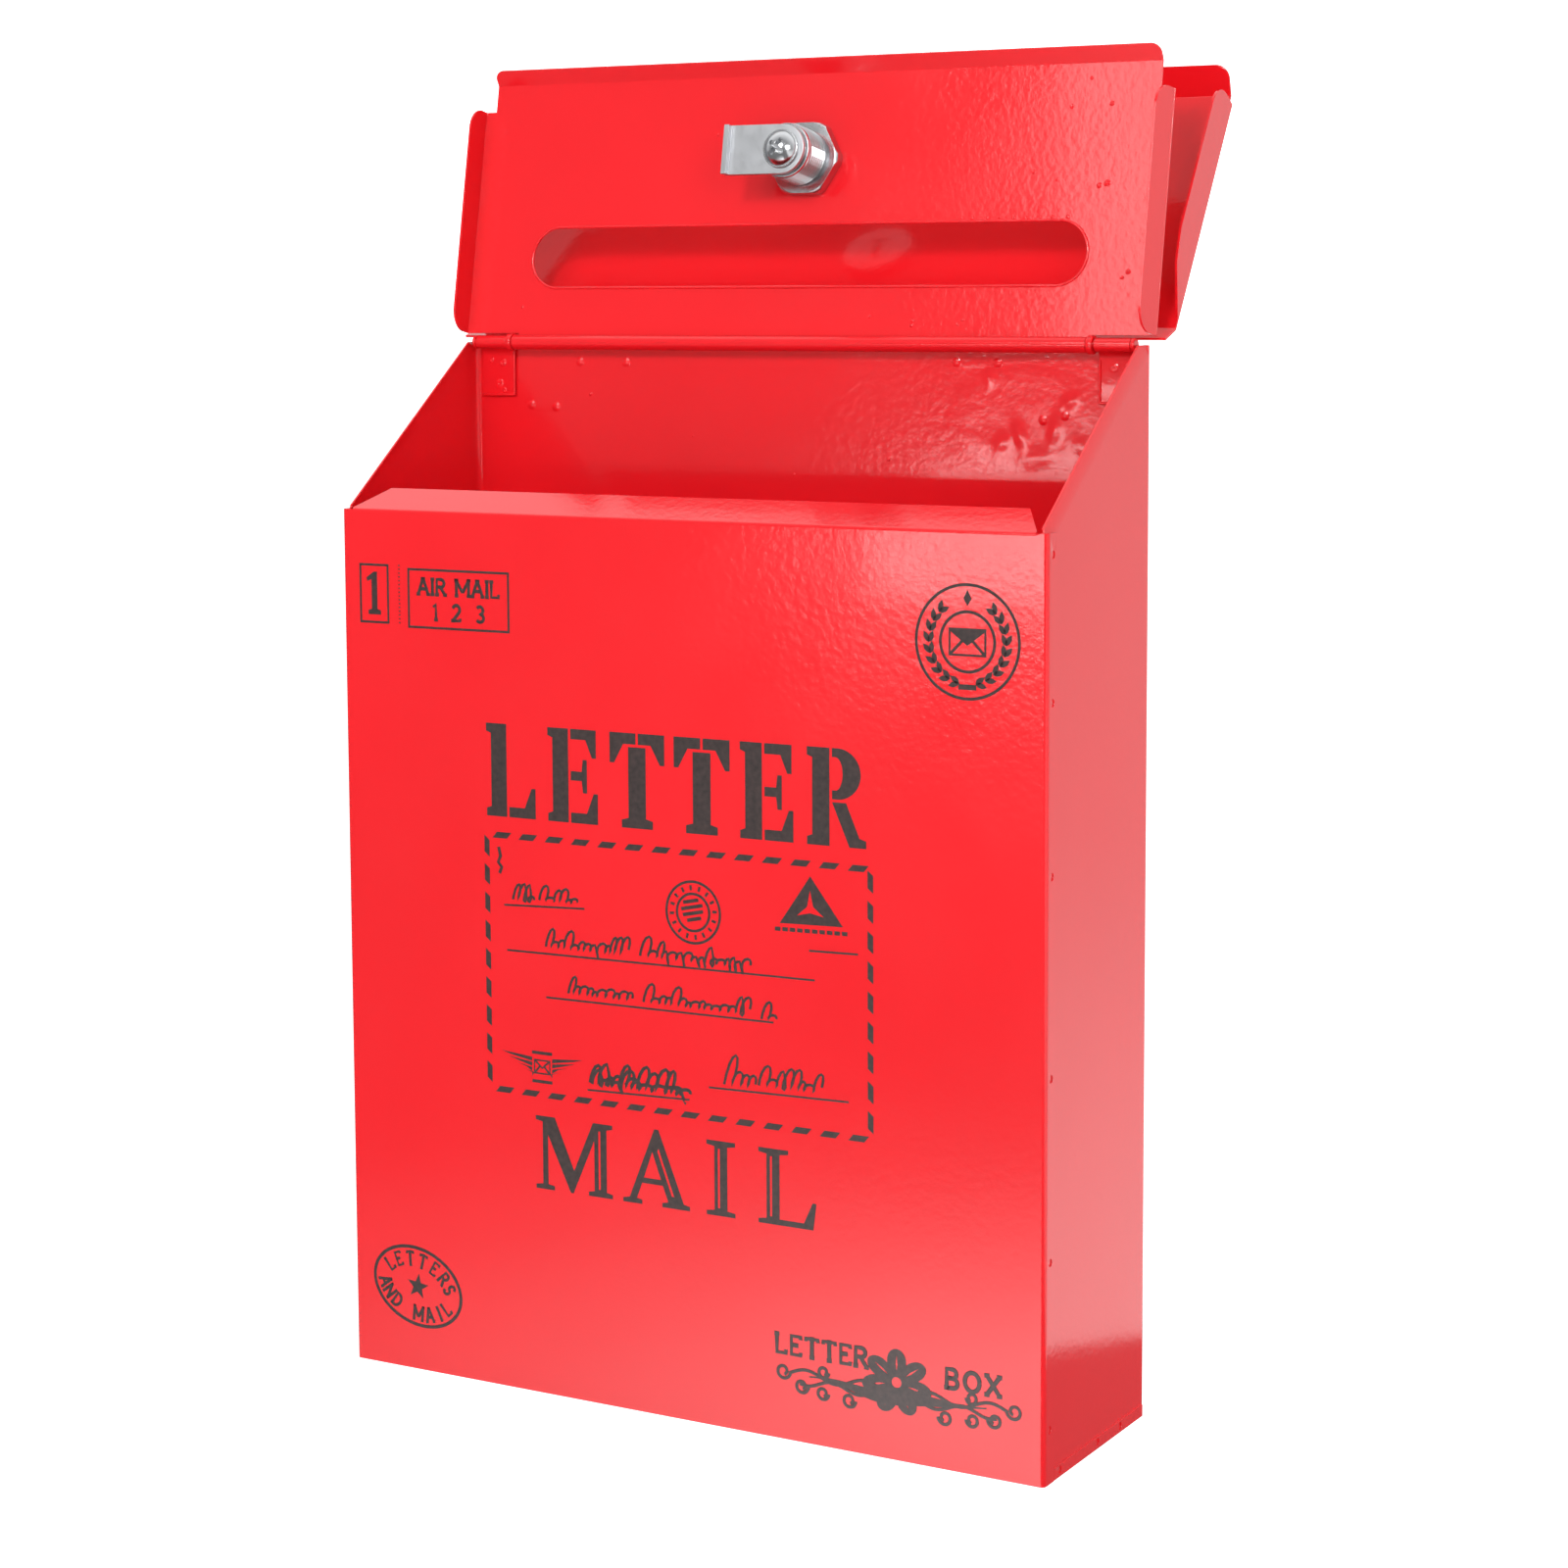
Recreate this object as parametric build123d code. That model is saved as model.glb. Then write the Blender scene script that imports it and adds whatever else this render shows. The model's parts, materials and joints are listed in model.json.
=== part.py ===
from build123d import *
import math
import os

os.makedirs("parts", exist_ok=True)

# Frame: X to the right, Y to the back, Z up. The origin is the centre of the
# box's underside. All lengths are in mm, all angles in degrees.

# Cutting shapes run this far past what they cut
BEYOND = 30.0

# Box
BOX_HALF_W = 112.6
BOX_DEPTH = 68.0
FRONT_Y = -BOX_DEPTH / 2
BACK_Y = BOX_DEPTH / 2
FRONT_H = 252.9
SIDE_H = 300.0
BACK_H = 298.6
SHEET = 0.7
CORNER_R = 2.5
RETURN_W = 6.0
RETURN_R = 1.4
SIDE_START_Y = FRONT_Y + RETURN_R + 0.1
SIDE_X = BOX_HALF_W - SHEET
SLOPE_OVER_AXIS = 1.3
HEM_DEPTH = 4.6
HEM_SHIFT = 1.2
TOP_FLANGE_L = 12.0
TOP_FLANGE_ANGLE = 28.0
TOP_FLANGE_HALF_W = 109.0
TOP_FLANGE_MITRE = 6.5
FLOOR_T = 0.6
FLOOR_FLANGE_H = 3.2
FLOOR_FLANGE_START_Y = FRONT_Y + RETURN_W + 0.3

# Spot welds
DIMPLE_R = 1.1
DIMPLE_DEPTH = 0.25
SEAM_Y = FRONT_Y + 3.2
SEAM_HEIGHTS = (14.9, 60.3, 109.6, 163.2, 208.8, 247.3)
FOOT_WELD_YS = (-24.0, 0.4, 15.5)
FOOT_WELD_Z = 1.9
BUMP_R = 1.6
BUMP_RISE = 0.45
BUMPS_LEFT = ((-73.7, 294.2), (-57.4, 294.1), (-91.3, 281.0), (-82.4, 280.5))
BUMPS_RIGHT = ((52.6, 294.9), (65.5, 294.8), (79.5, 279.0), (86.1, 280.3))

# Hanger plates
HANGER_X = 70.0
HANGER_Z = 287.0
HANGER_H = 21.0
HANGER_T = 0.9
HANGER_STANDOFF = 4.0
HANGER_WEB_W = 24.0
HANGER_FOOT_W = 9.0
HANGER_JOG = 3.0
KEYHOLE_R = 4.0
KEYHOLE_DROP = 4.0
KEYHOLE_SLOT_W = 4.0
KEYHOLE_SLOT_L = 9.0

# Hinge
AXIS_Y = FRONT_Y + 63.5
AXIS_Z = 300.0
PIN_R = 1.25
RUNNING = 0.05
PIN_INNER_X = 80.0
PIN_HEAD_X = 108.1
PIN_HEAD_R = 2.0
PIN_HEAD_T = 1.0
PIN_HEAD_ROUND = 0.4
KNUCKLE_R = 1.9
KNUCKLE_X0 = 97.1
KNUCKLE_X1 = 107.8
LEAF_X0 = 97.0
LEAF_X1 = 108.5
LEAF_T = 0.8
LEAF_Z0 = 284.0
LEAF_Z1 = 297.2
WEB_ROOT = 1.5
WEB_OUTER = (1.75, 0.6)
WEB_INNER = (1.0, -0.9)
EAR_X0 = 94.9
EAR_X1 = 96.7
EAR_R = 2.6
EAR_ARM_T = 0.8
EAR_ARM_L = 10.5
EAR_PAD_X1 = 103.0

# Inner lid, drawn upright with its hinge axis at the origin
LID_T = 0.6
LID_TILT = 10.0
LID_L = 79.2
LID_BEAD_R = 2.25
LID_BEAD_HALF_W = 94.6
LID_HALF_W = 113.9
LID_LIP_HALF_W = 109.8
LID_NOTCH_L = 3.0
LID_FLANGE_END = 71.0
LID_FLANGE_D = 10.0
LID_FLANGE_LEAN = 6.2
LID_FLANGE_R = 6.5
LID_LIP_L = 5.2
LID_LIP_ANGLE = 38.0
LID_LIP_R = 3.0
BEND_R = 1.2
SLOT_W = 183.5
SLOT_H = 18.4
SLOT_L = 25.9

# Cam lock, drawn in the lid's frame
LOCK_X = 1.0
LOCK_L = 53.7
LOCK_HOLE_R = 8.0
BARREL_R = 7.9
BARREL_END = 14.2
LOCK_HEAD_R = 11.0
LOCK_HEAD_T = 2.2
LOCK_HEAD_ROUND = 0.8
NUT_AF = 20.6
NUT_T = 3.6
NUT_RIM_R = NUT_AF / 2 + 1.0
NUT_CHAMFER = 0.7
PLUG_R = 5.0
PLUG_RECESS = 0.3
BOSS_SIDE = 6.0
KEYWAY_W = 1.6
KEYWAY_H = 6.4
KEYWAY_DEPTH = 11.0
WAFER_T = 0.9
WAFER_PITCH = 1.9
WAFER_W = 6.2
WAFER_H = 7.4
WAFER_COUNT = 4
WAFER_START = 4.2
WAFER_BRIDGE = 0.6
CAM_T = 1.6
CAM_HALF_W = 7.2
CAM_REACH = 18.6
CAM_GAP = 0.2
CAM_LIP = 1.6
WASHER_R = 5.6
WASHER_T = 0.8
SCREW_HEAD_R = 5.0
SCREW_HEAD_H = 3.0
SCREW_R = 1.9
SCREW_L = 8.0
CROSS_W = 1.2
CROSS_L = 5.2
CROSS_DEPTH = 1.6
CROSS_TURN = 35.0

# Outer cover, drawn with its rear strip along +Y from the hinge axis
COVER_T = 0.7
STRIP_ELEVATION = 20.0
STRIP_START = 4.7
STRIP_L = 12.3
EAR_PAD_START = STRIP_START + 0.6
COVER_TURN = 38.0
COVER_L = 77.0
COVER_HALF_W = 115.8
COVER_FLANGE_D = 11.5
COVER_FLANGE_START = 3.0
COVER_FLANGE_END = 74.0
COVER_FLANGE_R = 7.0
COVER_TAPER_L = 22.0
COVER_WAIST_L = 13.0
COVER_WAIST_D = 9.1
COVER_HEEL_L = 3.0
COVER_HEEL_D = 2.2
COVER_LIP_L = 9.2
COVER_LIP_ANGLE = 46.0
COVER_LIP_R = 4.0
COVER_LIP_HALF_W = 114.9

SLOPE = math.degrees(
    math.atan2(AXIS_Z - FRONT_H, AXIS_Y - FRONT_Y)
    + math.asin(SLOPE_OVER_AXIS / math.hypot(AXIS_Z - FRONT_H, AXIS_Y - FRONT_Y))
)
TOP_EDGE_Y = FRONT_Y + (SIDE_H - FRONT_H) / math.tan(math.radians(SLOPE))


def heading(angle):
    """Unit (y, z) step at an angle above +Y."""
    return math.cos(math.radians(angle)), math.sin(math.radians(angle))


def prism_x(points, x0, x1):
    """Solid with a (y, z) outline, running from x0 to x1."""
    face = make_face(Polyline(*points, close=True))
    return extrude(Plane.YZ.offset(x0) * face, amount=x1 - x0)


def bent_sheet(points, radius, thickness, x0, x1):
    """Sheet bent along a (y, z) path, its thickness on the path's left."""
    path = FilletPolyline(*points, radius=radius) if len(points) > 2 else Line(*points)
    outline = offset(path, amount=thickness, side=Side.LEFT)
    return extrude(Plane.YZ.offset(x0) * make_face(outline), amount=x1 - x0)


def span(x0, x1, y0, y1, z0, z1):
    """Box between two corners."""
    return Pos((x0 + x1) / 2, (y0 + y1) / 2, (z0 + z1) / 2) * Box(x1 - x0, y1 - y0, z1 - z0)


def rod_x(radius, x0, x1):
    """Round bar on the X axis."""
    return Pos((x0 + x1) / 2, 0, 0) * Rot(Y=90) * Cylinder(radius, x1 - x0)


def rod_y(radius, y0, y1):
    """Round bar on the Y axis."""
    return Pos(0, (y0 + y1) / 2, 0) * Rot(X=90) * Cylinder(radius, y1 - y0)


def mirrored(shape):
    return mirror(shape, about=Plane.YZ)


def both_sides(shape):
    return shape + mirrored(shape)


def above_slope():
    """Everything over the sloping top edges of the sides."""
    step_y, step_z = heading(SLOPE)
    reach = 2 * BOX_DEPTH
    start = (FRONT_Y - reach * step_y, FRONT_H - reach * step_z)
    end = (FRONT_Y + reach * step_y, FRONT_H + reach * step_z)
    return prism_x([start, end, (start[0], end[1])], -BOX_HALF_W - BEYOND, BOX_HALF_W + BEYOND)


def slope_hem():
    """Top of the right side: a narrow band along the slope that leans inward."""
    overrun = 5.0
    length = 100.0
    section = [
        (SIDE_X, -HEM_DEPTH - 1),
        (SIDE_X, -HEM_DEPTH),
        (SIDE_X - HEM_SHIFT, 0),
        (SIDE_X - HEM_SHIFT - SHEET, 0),
        (SIDE_X - SHEET, -HEM_DEPTH),
        (SIDE_X - SHEET, -HEM_DEPTH - 1),
    ]
    step_y, step_z = heading(SLOPE)
    along = Plane(
        origin=(0, FRONT_Y - overrun * step_y, FRONT_H - overrun * step_z),
        x_dir=(1, 0, 0),
        z_dir=(0, -step_y, -step_z),
    )
    band = extrude(along * make_face(Polyline(*section, close=True)), amount=-length)
    keep = span(0, BOX_HALF_W, SIDE_START_Y, BACK_Y - CORNER_R, FRONT_H - BEYOND, SIDE_H)
    return band & keep


def back_and_sides():
    """One sheet wrapped round the back, with rounded vertical corners."""
    half = SIDE_X
    outer = span(-half, half, SIDE_START_Y, BACK_Y, FLOOR_T, SIDE_H)
    rear = outer.edges().filter_by(Axis.Z).group_by(Axis.Y)[-1]
    outer = fillet(rear, CORNER_R)
    inner = span(
        SHEET - half, half - SHEET, FRONT_Y - BEYOND, BACK_Y - SHEET, -BEYOND, SIDE_H + BEYOND
    )
    rear = inner.edges().filter_by(Axis.Z).group_by(Axis.Y)[-1]
    inner = fillet(rear, CORNER_R - SHEET)
    shell = outer - inner
    step_y, step_z = heading(SLOPE)
    low = Pos(0, HEM_DEPTH * step_z, -HEM_DEPTH * step_y) * above_slope()
    shell -= low & span(
        -BOX_HALF_W, BOX_HALF_W, FRONT_Y - BEYOND, BACK_Y - CORNER_R, FRONT_H - BEYOND, SIDE_H + BEYOND
    )
    shell += both_sides(slope_hem())
    shell -= span(CORNER_R - half, half - CORNER_R, 0, BACK_Y + BEYOND, BACK_H, SIDE_H + BEYOND)
    for x, z in BUMPS_LEFT + BUMPS_RIGHT:
        shell += weld_bump(x, z)
    return shell


def weld_bump(x, z):
    """Low round bump that a spot weld leaves on the inner face of the back."""
    inner_y = BACK_Y - SHEET
    ball_r = (BUMP_R**2 + BUMP_RISE**2) / (2 * BUMP_RISE)
    ball = Pos(x, inner_y - BUMP_RISE + ball_r, z) * Sphere(ball_r)
    reach = 2 * BUMP_R
    return ball & span(x - reach, x + reach, inner_y - reach, inner_y + SHEET / 2, z - reach, z + reach)


def weld_dimples(x, places):
    """Shallow round dimples in both outer sides at (y, z) places."""
    dimple = rod_x(DIMPLE_R, x - DIMPLE_DEPTH, x + 1)
    row = [Pos(0, y, z) * dimple for y, z in places]
    return row + [mirrored(shape) for shape in row]


def front_panel():
    """Front sheet with a return on each side and a raised inward top flange."""
    flange_root = 6.0
    fold_cut = 4.0
    outer = Pos(0, FRONT_Y + RETURN_W / 2, FRONT_H / 2) * Box(
        2 * BOX_HALF_W, RETURN_W, FRONT_H
    )
    outer = fillet(outer.edges().filter_by(Axis.Z).group_by(Axis.Y)[0], RETURN_R)
    inner = Pos(0, FRONT_Y + SHEET + RETURN_W / 2, FRONT_H / 2) * Box(
        2 * SIDE_X, RETURN_W, FRONT_H + BEYOND
    )
    inner = fillet(inner.edges().filter_by(Axis.Z).group_by(Axis.Y)[0], RETURN_R - SHEET)
    panel = outer - inner
    step_y, step_z = heading(TOP_FLANGE_ANGLE)
    path = [
        (FRONT_Y, FRONT_H - flange_root),
        (FRONT_Y, FRONT_H),
        (FRONT_Y + TOP_FLANGE_L * step_y, FRONT_H + TOP_FLANGE_L * step_z),
    ][::-1]
    flange = bent_sheet(path, BEND_R, SHEET, -TOP_FLANGE_HALF_W, TOP_FLANGE_HALF_W)
    mitre = TOP_FLANGE_MITRE
    depth = TOP_FLANGE_L * step_y
    plan = Polyline(
        (-TOP_FLANGE_HALF_W, FRONT_Y),
        (TOP_FLANGE_HALF_W, FRONT_Y),
        (TOP_FLANGE_HALF_W, FRONT_Y + 1),
        (TOP_FLANGE_HALF_W - mitre, FRONT_Y + depth),
        (mitre - TOP_FLANGE_HALF_W, FRONT_Y + depth),
        (-TOP_FLANGE_HALF_W, FRONT_Y + 1),
        close=True,
    )
    flange &= Pos(0, 0, FRONT_H - BEYOND) * extrude(make_face(plan), amount=2 * BEYOND)
    panel -= span(
        -TOP_FLANGE_HALF_W, TOP_FLANGE_HALF_W,
        FRONT_Y - BEYOND, FRONT_Y + BEND_R + SHEET,
        FRONT_H - fold_cut, FRONT_H + BEYOND,
    )
    panel += flange
    for dimple in weld_dimples(BOX_HALF_W, [(SEAM_Y, z) for z in SEAM_HEIGHTS]):
        panel -= dimple
    return panel


def bottom_panel():
    """Floor whose side edges turn up outside the box's sides."""
    floor = span(
        -SIDE_X - FLOOR_T, SIDE_X + FLOOR_T, FRONT_Y + SHEET, BACK_Y, 0, FLOOR_T
    )
    front_notch = span(
        SIDE_X - 2, SIDE_X + BEYOND, FRONT_Y - BEYOND, FLOOR_FLANGE_START_Y, -BEYOND, BEYOND
    )
    floor -= both_sides(front_notch)
    flange_end_y = BACK_Y - CORNER_R - 0.5
    edge = span(
        SIDE_X, SIDE_X + FLOOR_T, FLOOR_FLANGE_START_Y, flange_end_y, 0, FLOOR_FLANGE_H
    )
    corner = span(SIDE_X - 4, SIDE_X + BEYOND, flange_end_y, BACK_Y + BEYOND, -BEYOND, BEYOND)
    floor = floor - both_sides(corner) + both_sides(edge)
    places = [(y, FOOT_WELD_Z) for y in FOOT_WELD_YS]
    for dimple in weld_dimples(SIDE_X + FLOOR_T, places):
        floor -= dimple
    return floor


def hanger_plate(side):
    """Raised strap with a keyhole, welded to the rear of the back by its feet."""
    half_web = HANGER_WEB_W / 2
    half_all = half_web + HANGER_JOG + HANGER_FOOT_W
    points = [
        (-half_all, 0),
        (-half_web - HANGER_JOG, 0),
        (-half_web, HANGER_STANDOFF),
        (half_web, HANGER_STANDOFF),
        (half_web + HANGER_JOG, 0),
        (half_all, 0),
    ]
    path = FilletPolyline(*points, radius=BEND_R)
    outline = offset(path, amount=HANGER_T, side=Side.LEFT)
    strap = Pos(0, 0, -HANGER_H / 2) * extrude(make_face(outline), amount=HANGER_H)
    strap -= Pos(0, 0, -KEYHOLE_DROP) * rod_y(KEYHOLE_R, HANGER_JOG / 3, BEYOND)
    slot_top = KEYHOLE_SLOT_L - KEYHOLE_DROP
    half_slot = KEYHOLE_SLOT_W / 2
    strap -= span(-half_slot, half_slot, HANGER_JOG / 3, BEYOND, -KEYHOLE_DROP, slot_top)
    strap -= Pos(0, 0, slot_top) * rod_y(half_slot, HANGER_JOG / 3, BEYOND)
    return Pos(side * HANGER_X, BACK_Y, HANGER_Z) * strap


def hinge_leaf_right():
    """Plate on the back's inner face, its top rolled round the hinge pin."""
    plate_y = BACK_Y - SHEET
    leaf = span(LEAF_X0, LEAF_X1, plate_y - LEAF_T, plate_y, LEAF_Z0, LEAF_Z1)
    web = prism_x(
        [
            (plate_y, LEAF_Z1 - WEB_ROOT),
            (plate_y, LEAF_Z1),
            (AXIS_Y + WEB_OUTER[0], AXIS_Z + WEB_OUTER[1]),
            (AXIS_Y + WEB_INNER[0], AXIS_Z + WEB_INNER[1]),
            (plate_y - LEAF_T, LEAF_Z1 - WEB_ROOT),
        ],
        KNUCKLE_X0,
        KNUCKLE_X1,
    )
    knuckle = Pos(0, AXIS_Y, AXIS_Z) * rod_x(KNUCKLE_R, KNUCKLE_X0, KNUCKLE_X1)
    bore = Pos(0, AXIS_Y, AXIS_Z) * rod_x(PIN_R + RUNNING, KNUCKLE_X0 - BEYOND, KNUCKLE_X1 + BEYOND)
    return leaf + web + knuckle - bore


def hinge_pin_right():
    """Pin pressed into the lid's rolled edge, with a flattened outer end."""
    pin = rod_x(PIN_R, PIN_INNER_X, PIN_HEAD_X)
    head = rod_x(PIN_HEAD_R, PIN_HEAD_X, PIN_HEAD_X + PIN_HEAD_T)
    head = fillet(head.edges().sort_by(Axis.X)[-1], PIN_HEAD_ROUND)
    return lid_place() * (pin + head)


def lid_place():
    return Pos(0, AXIS_Y, AXIS_Z) * Rot(X=-LID_TILT)


def lid_flange_right():
    """Side flange of the lid, leaning inward, with rounded free corners."""
    shift = LID_FLANGE_D * math.tan(math.radians(LID_FLANGE_LEAN))
    top = LID_BEAD_R
    bottom = top - LID_FLANGE_D
    section = Polyline(
        (LID_HALF_W, top),
        (LID_HALF_W - shift, bottom),
        (LID_HALF_W - shift - LID_T, bottom),
        (LID_HALF_W - LID_T, top),
        close=True,
    )
    wall = Pos(0, 0, LID_NOTCH_L) * extrude(make_face(section), amount=LID_FLANGE_END - LID_NOTCH_L)
    keep = span(LID_HALF_W - 5, LID_HALF_W + 5, bottom, top, LID_NOTCH_L, LID_FLANGE_END)
    keep = fillet(keep.edges().filter_by(Axis.X).group_by(Axis.Y)[0], LID_FLANGE_R)
    return wall & keep


def round_lip_ends(sheet, radius):
    """Rounds the two outer corners of a lip's free edge."""
    top = sheet.faces().sort_by(Axis.Z)[-1].edges().filter_by(Axis.X).sort_by(Axis.Z)[-1]
    level = top.center().Z
    across = [e for e in sheet.edges() if abs(e.center().Z - level) < 1.0 and e.length < 1.5]
    return fillet(across, radius)


def inner_lid():
    """Lid with a rolled hinge edge, side flanges, a flared lip and a letter slot."""
    lean_y, lean_z = heading(90 + LID_LIP_ANGLE)
    path = [
        (LID_BEAD_R, 0),
        (LID_BEAD_R, LID_L),
        (LID_BEAD_R + LID_LIP_L * lean_y, LID_L + LID_LIP_L * lean_z),
    ]
    lid = bent_sheet(path, BEND_R, LID_T, -LID_HALF_W, LID_HALF_W)
    outside = LID_HALF_W + BEYOND
    lid -= both_sides(span(LID_BEAD_HALF_W, outside, -BEYOND, BEYOND, -BEYOND, LID_NOTCH_L))
    corner = span(LID_LIP_HALF_W, outside, -BEYOND, BEYOND, LID_FLANGE_END, LID_L + BEYOND)
    lid -= both_sides(corner)
    lid = round_lip_ends(lid, LID_LIP_R)
    lid += rod_x(LID_BEAD_R, -LID_BEAD_HALF_W, LID_BEAD_HALF_W)
    lid -= rod_x(PIN_R, -LID_BEAD_HALF_W - BEYOND, LID_BEAD_HALF_W + BEYOND)
    lid += both_sides(lid_flange_right())
    slot = Pos(0, 0, SLOT_L) * Rot(X=90) * extrude(
        SlotOverall(SLOT_W, SLOT_H), amount=LID_FLANGE_D, both=True
    )
    lid -= slot
    lid -= Pos(LOCK_X, 0, LOCK_L) * rod_y(LOCK_HOLE_R, -LID_FLANGE_D, LID_FLANGE_D)
    return lid_place() * lid


def lock_place():
    return lid_place() * Pos(LOCK_X, 0, LOCK_L)


def lock_housing():
    """Threaded barrel with a round head on the lid's outer face."""
    head_y = LID_BEAD_R
    barrel = rod_y(BARREL_R, -BARREL_END + LID_BEAD_R - LID_T, head_y)
    head = rod_y(LOCK_HEAD_R, head_y, head_y + LOCK_HEAD_T)
    head = fillet(head.edges().sort_by(Axis.Y)[-1], LOCK_HEAD_ROUND)
    return lock_place() * (barrel + head - rod_y(PLUG_R + RUNNING, -BEYOND, BEYOND))


def lock_nut():
    """Hexagonal nut against the lid's inner face."""
    face_y = LID_BEAD_R - LID_T
    hexagon = RegularPolygon(NUT_AF / 2, 6, major_radius=False, rotation=30)
    nut = Rot(X=90) * extrude(Rot(Z=30) * hexagon, amount=NUT_T)
    nut = Pos(0, face_y, 0) * nut
    rim = Pos(0, face_y - NUT_T / 2, 0) * Rot(X=90) * Cylinder(NUT_RIM_R, NUT_T)
    rim = chamfer(rim.edges().sort_by(Axis.Y)[0], NUT_CHAMFER)
    nut = nut & rim
    return lock_place() * (nut - rod_y(BARREL_R, -BEYOND, BEYOND))


def plug_end_y():
    return LID_BEAD_R - LID_T - BARREL_END


def wafer_shapes():
    """Flat tumblers stacked along the plug."""
    first = LID_BEAD_R + LOCK_HEAD_T - WAFER_START
    blocks = []
    for i in range(WAFER_COUNT):
        y = first - i * WAFER_PITCH
        block = span(-WAFER_W / 2, WAFER_W / 2, y, y + WAFER_T, -WAFER_H / 2, WAFER_H / 2)
        blocks.append(block)
    return blocks


def lock_plug():
    """Turning core with a keyway in front and a square boss for the cam."""
    end = plug_end_y()
    plug = rod_y(PLUG_R, end, LID_BEAD_R + LOCK_HEAD_T - PLUG_RECESS)
    front = LID_BEAD_R + LOCK_HEAD_T
    plug -= span(-KEYWAY_W / 2, KEYWAY_W / 2, front - KEYWAY_DEPTH, front, -KEYWAY_H / 2, KEYWAY_H / 2)
    for wafer in wafer_shapes():
        plug -= wafer
    half = BOSS_SIDE / 2
    plug += span(-half, half, end - CAM_GAP - CAM_T, end, -half, half)
    plug -= rod_y(SCREW_R, end - 5, end - CAM_GAP - CAM_T + SCREW_L)
    return lock_place() * plug


def lock_wafers():
    half_w, half_h = KEYWAY_W / 2, KEYWAY_H / 2 - WAFER_BRIDGE
    window = span(-half_w, half_w, -BEYOND, BEYOND, -half_h, half_h)
    return lock_place() * Compound(children=[wafer - window for wafer in wafer_shapes()])


def cam():
    """Flat latch bar with a round end on the lock and a small turned-up tip."""
    back = plug_end_y() - CAM_GAP
    face = Circle(CAM_HALF_W) + Pos(-CAM_REACH / 2, 0) * Rectangle(CAM_REACH, 2 * CAM_HALF_W)
    plate = Pos(0, back, 0) * Rot(X=90) * extrude(face, amount=CAM_T)
    tip = span(-CAM_REACH, CAM_T - CAM_REACH, back - CAM_T - CAM_LIP, back, -CAM_HALF_W, CAM_HALF_W)
    half = BOSS_SIDE / 2
    hole = span(-half, half, back - BEYOND, back + BEYOND, -half, half)
    return lock_place() * (plate + tip - hole)


def cam_washer():
    face = plug_end_y() - CAM_GAP - CAM_T
    ring = rod_y(WASHER_R, face - WASHER_T, face) - rod_y(SCREW_R, -BEYOND, 0)
    return lock_place() * ring


def cam_screw():
    """Domed cross-recessed screw that holds the cam on the plug."""
    face = plug_end_y() - CAM_GAP - CAM_T - WASHER_T
    ball_r = (SCREW_HEAD_R**2 + SCREW_HEAD_H**2) / (2 * SCREW_HEAD_H)
    dome = Pos(0, face - SCREW_HEAD_H + ball_r, 0) * Sphere(ball_r)
    head = dome & rod_y(SCREW_HEAD_R, face - SCREW_HEAD_H - 1, face)
    top = face - SCREW_HEAD_H
    for angle in (CROSS_TURN, CROSS_TURN + 90):
        bar = span(-CROSS_L / 2, CROSS_L / 2, top - BEYOND, top + CROSS_DEPTH, -CROSS_W / 2, CROSS_W / 2)
        head -= Rot(Y=angle) * bar
    return lock_place() * (head + rod_y(SCREW_R, face, face + SCREW_L))


def cover_place():
    return Pos(0, AXIS_Y, AXIS_Z) * Rot(X=STRIP_ELEVATION)


def cover_panel_place():
    """Frame of the cover's panel: +Z along it, +Y outward, its rear fold at the origin."""
    return cover_place() * Pos(0, STRIP_L, 0) * Rot(X=COVER_TURN - 90)


def cover_flange_right():
    """Side flange of the cover, tapering to the fold at its rear end."""
    path = [
        (0, COVER_FLANGE_START),
        (0, COVER_FLANGE_END),
        (-COVER_FLANGE_D, COVER_FLANGE_END),
        (-COVER_FLANGE_D, COVER_FLANGE_START + COVER_TAPER_L),
        (-COVER_WAIST_D, COVER_FLANGE_START + COVER_WAIST_L),
        (-COVER_HEEL_D, COVER_FLANGE_START + COVER_HEEL_L),
    ]
    wall = prism_x(path, COVER_HALF_W - COVER_T, COVER_HALF_W)
    edges = wall.edges().filter_by(Axis.X)
    free = edges.filter_by(lambda e: e.center().Y < -COVER_FLANGE_D + 0.1)
    return fillet(free, COVER_FLANGE_R)


def outer_cover():
    """Weather cover: rear strip, sloping panel, side flanges and a flared lip."""
    turn_y, turn_z = heading(COVER_TURN)
    lip_y, lip_z = heading(COVER_TURN + COVER_LIP_ANGLE)
    half_t = COVER_T / 2
    fold = (STRIP_L, -half_t)
    far = (fold[0] + COVER_L * turn_y, fold[1] + COVER_L * turn_z)
    path = [
        (STRIP_START, -half_t),
        fold,
        far,
        (far[0] + COVER_LIP_L * lip_y, far[1] + COVER_LIP_L * lip_z),
    ]
    cover = bent_sheet(path, BEND_R, COVER_T, -COVER_HALF_W, COVER_HALF_W)
    local = cover_panel_place().inverse() * cover_place() * cover
    corner = span(
        COVER_LIP_HALF_W, COVER_HALF_W + BEYOND, -BEYOND, BEYOND, COVER_FLANGE_END, COVER_L + BEYOND
    )
    local -= both_sides(corner)
    local = round_lip_ends(local, COVER_LIP_R)
    local += both_sides(Pos(0, -half_t, 0) * cover_flange_right())
    return cover_panel_place() * local


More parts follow.
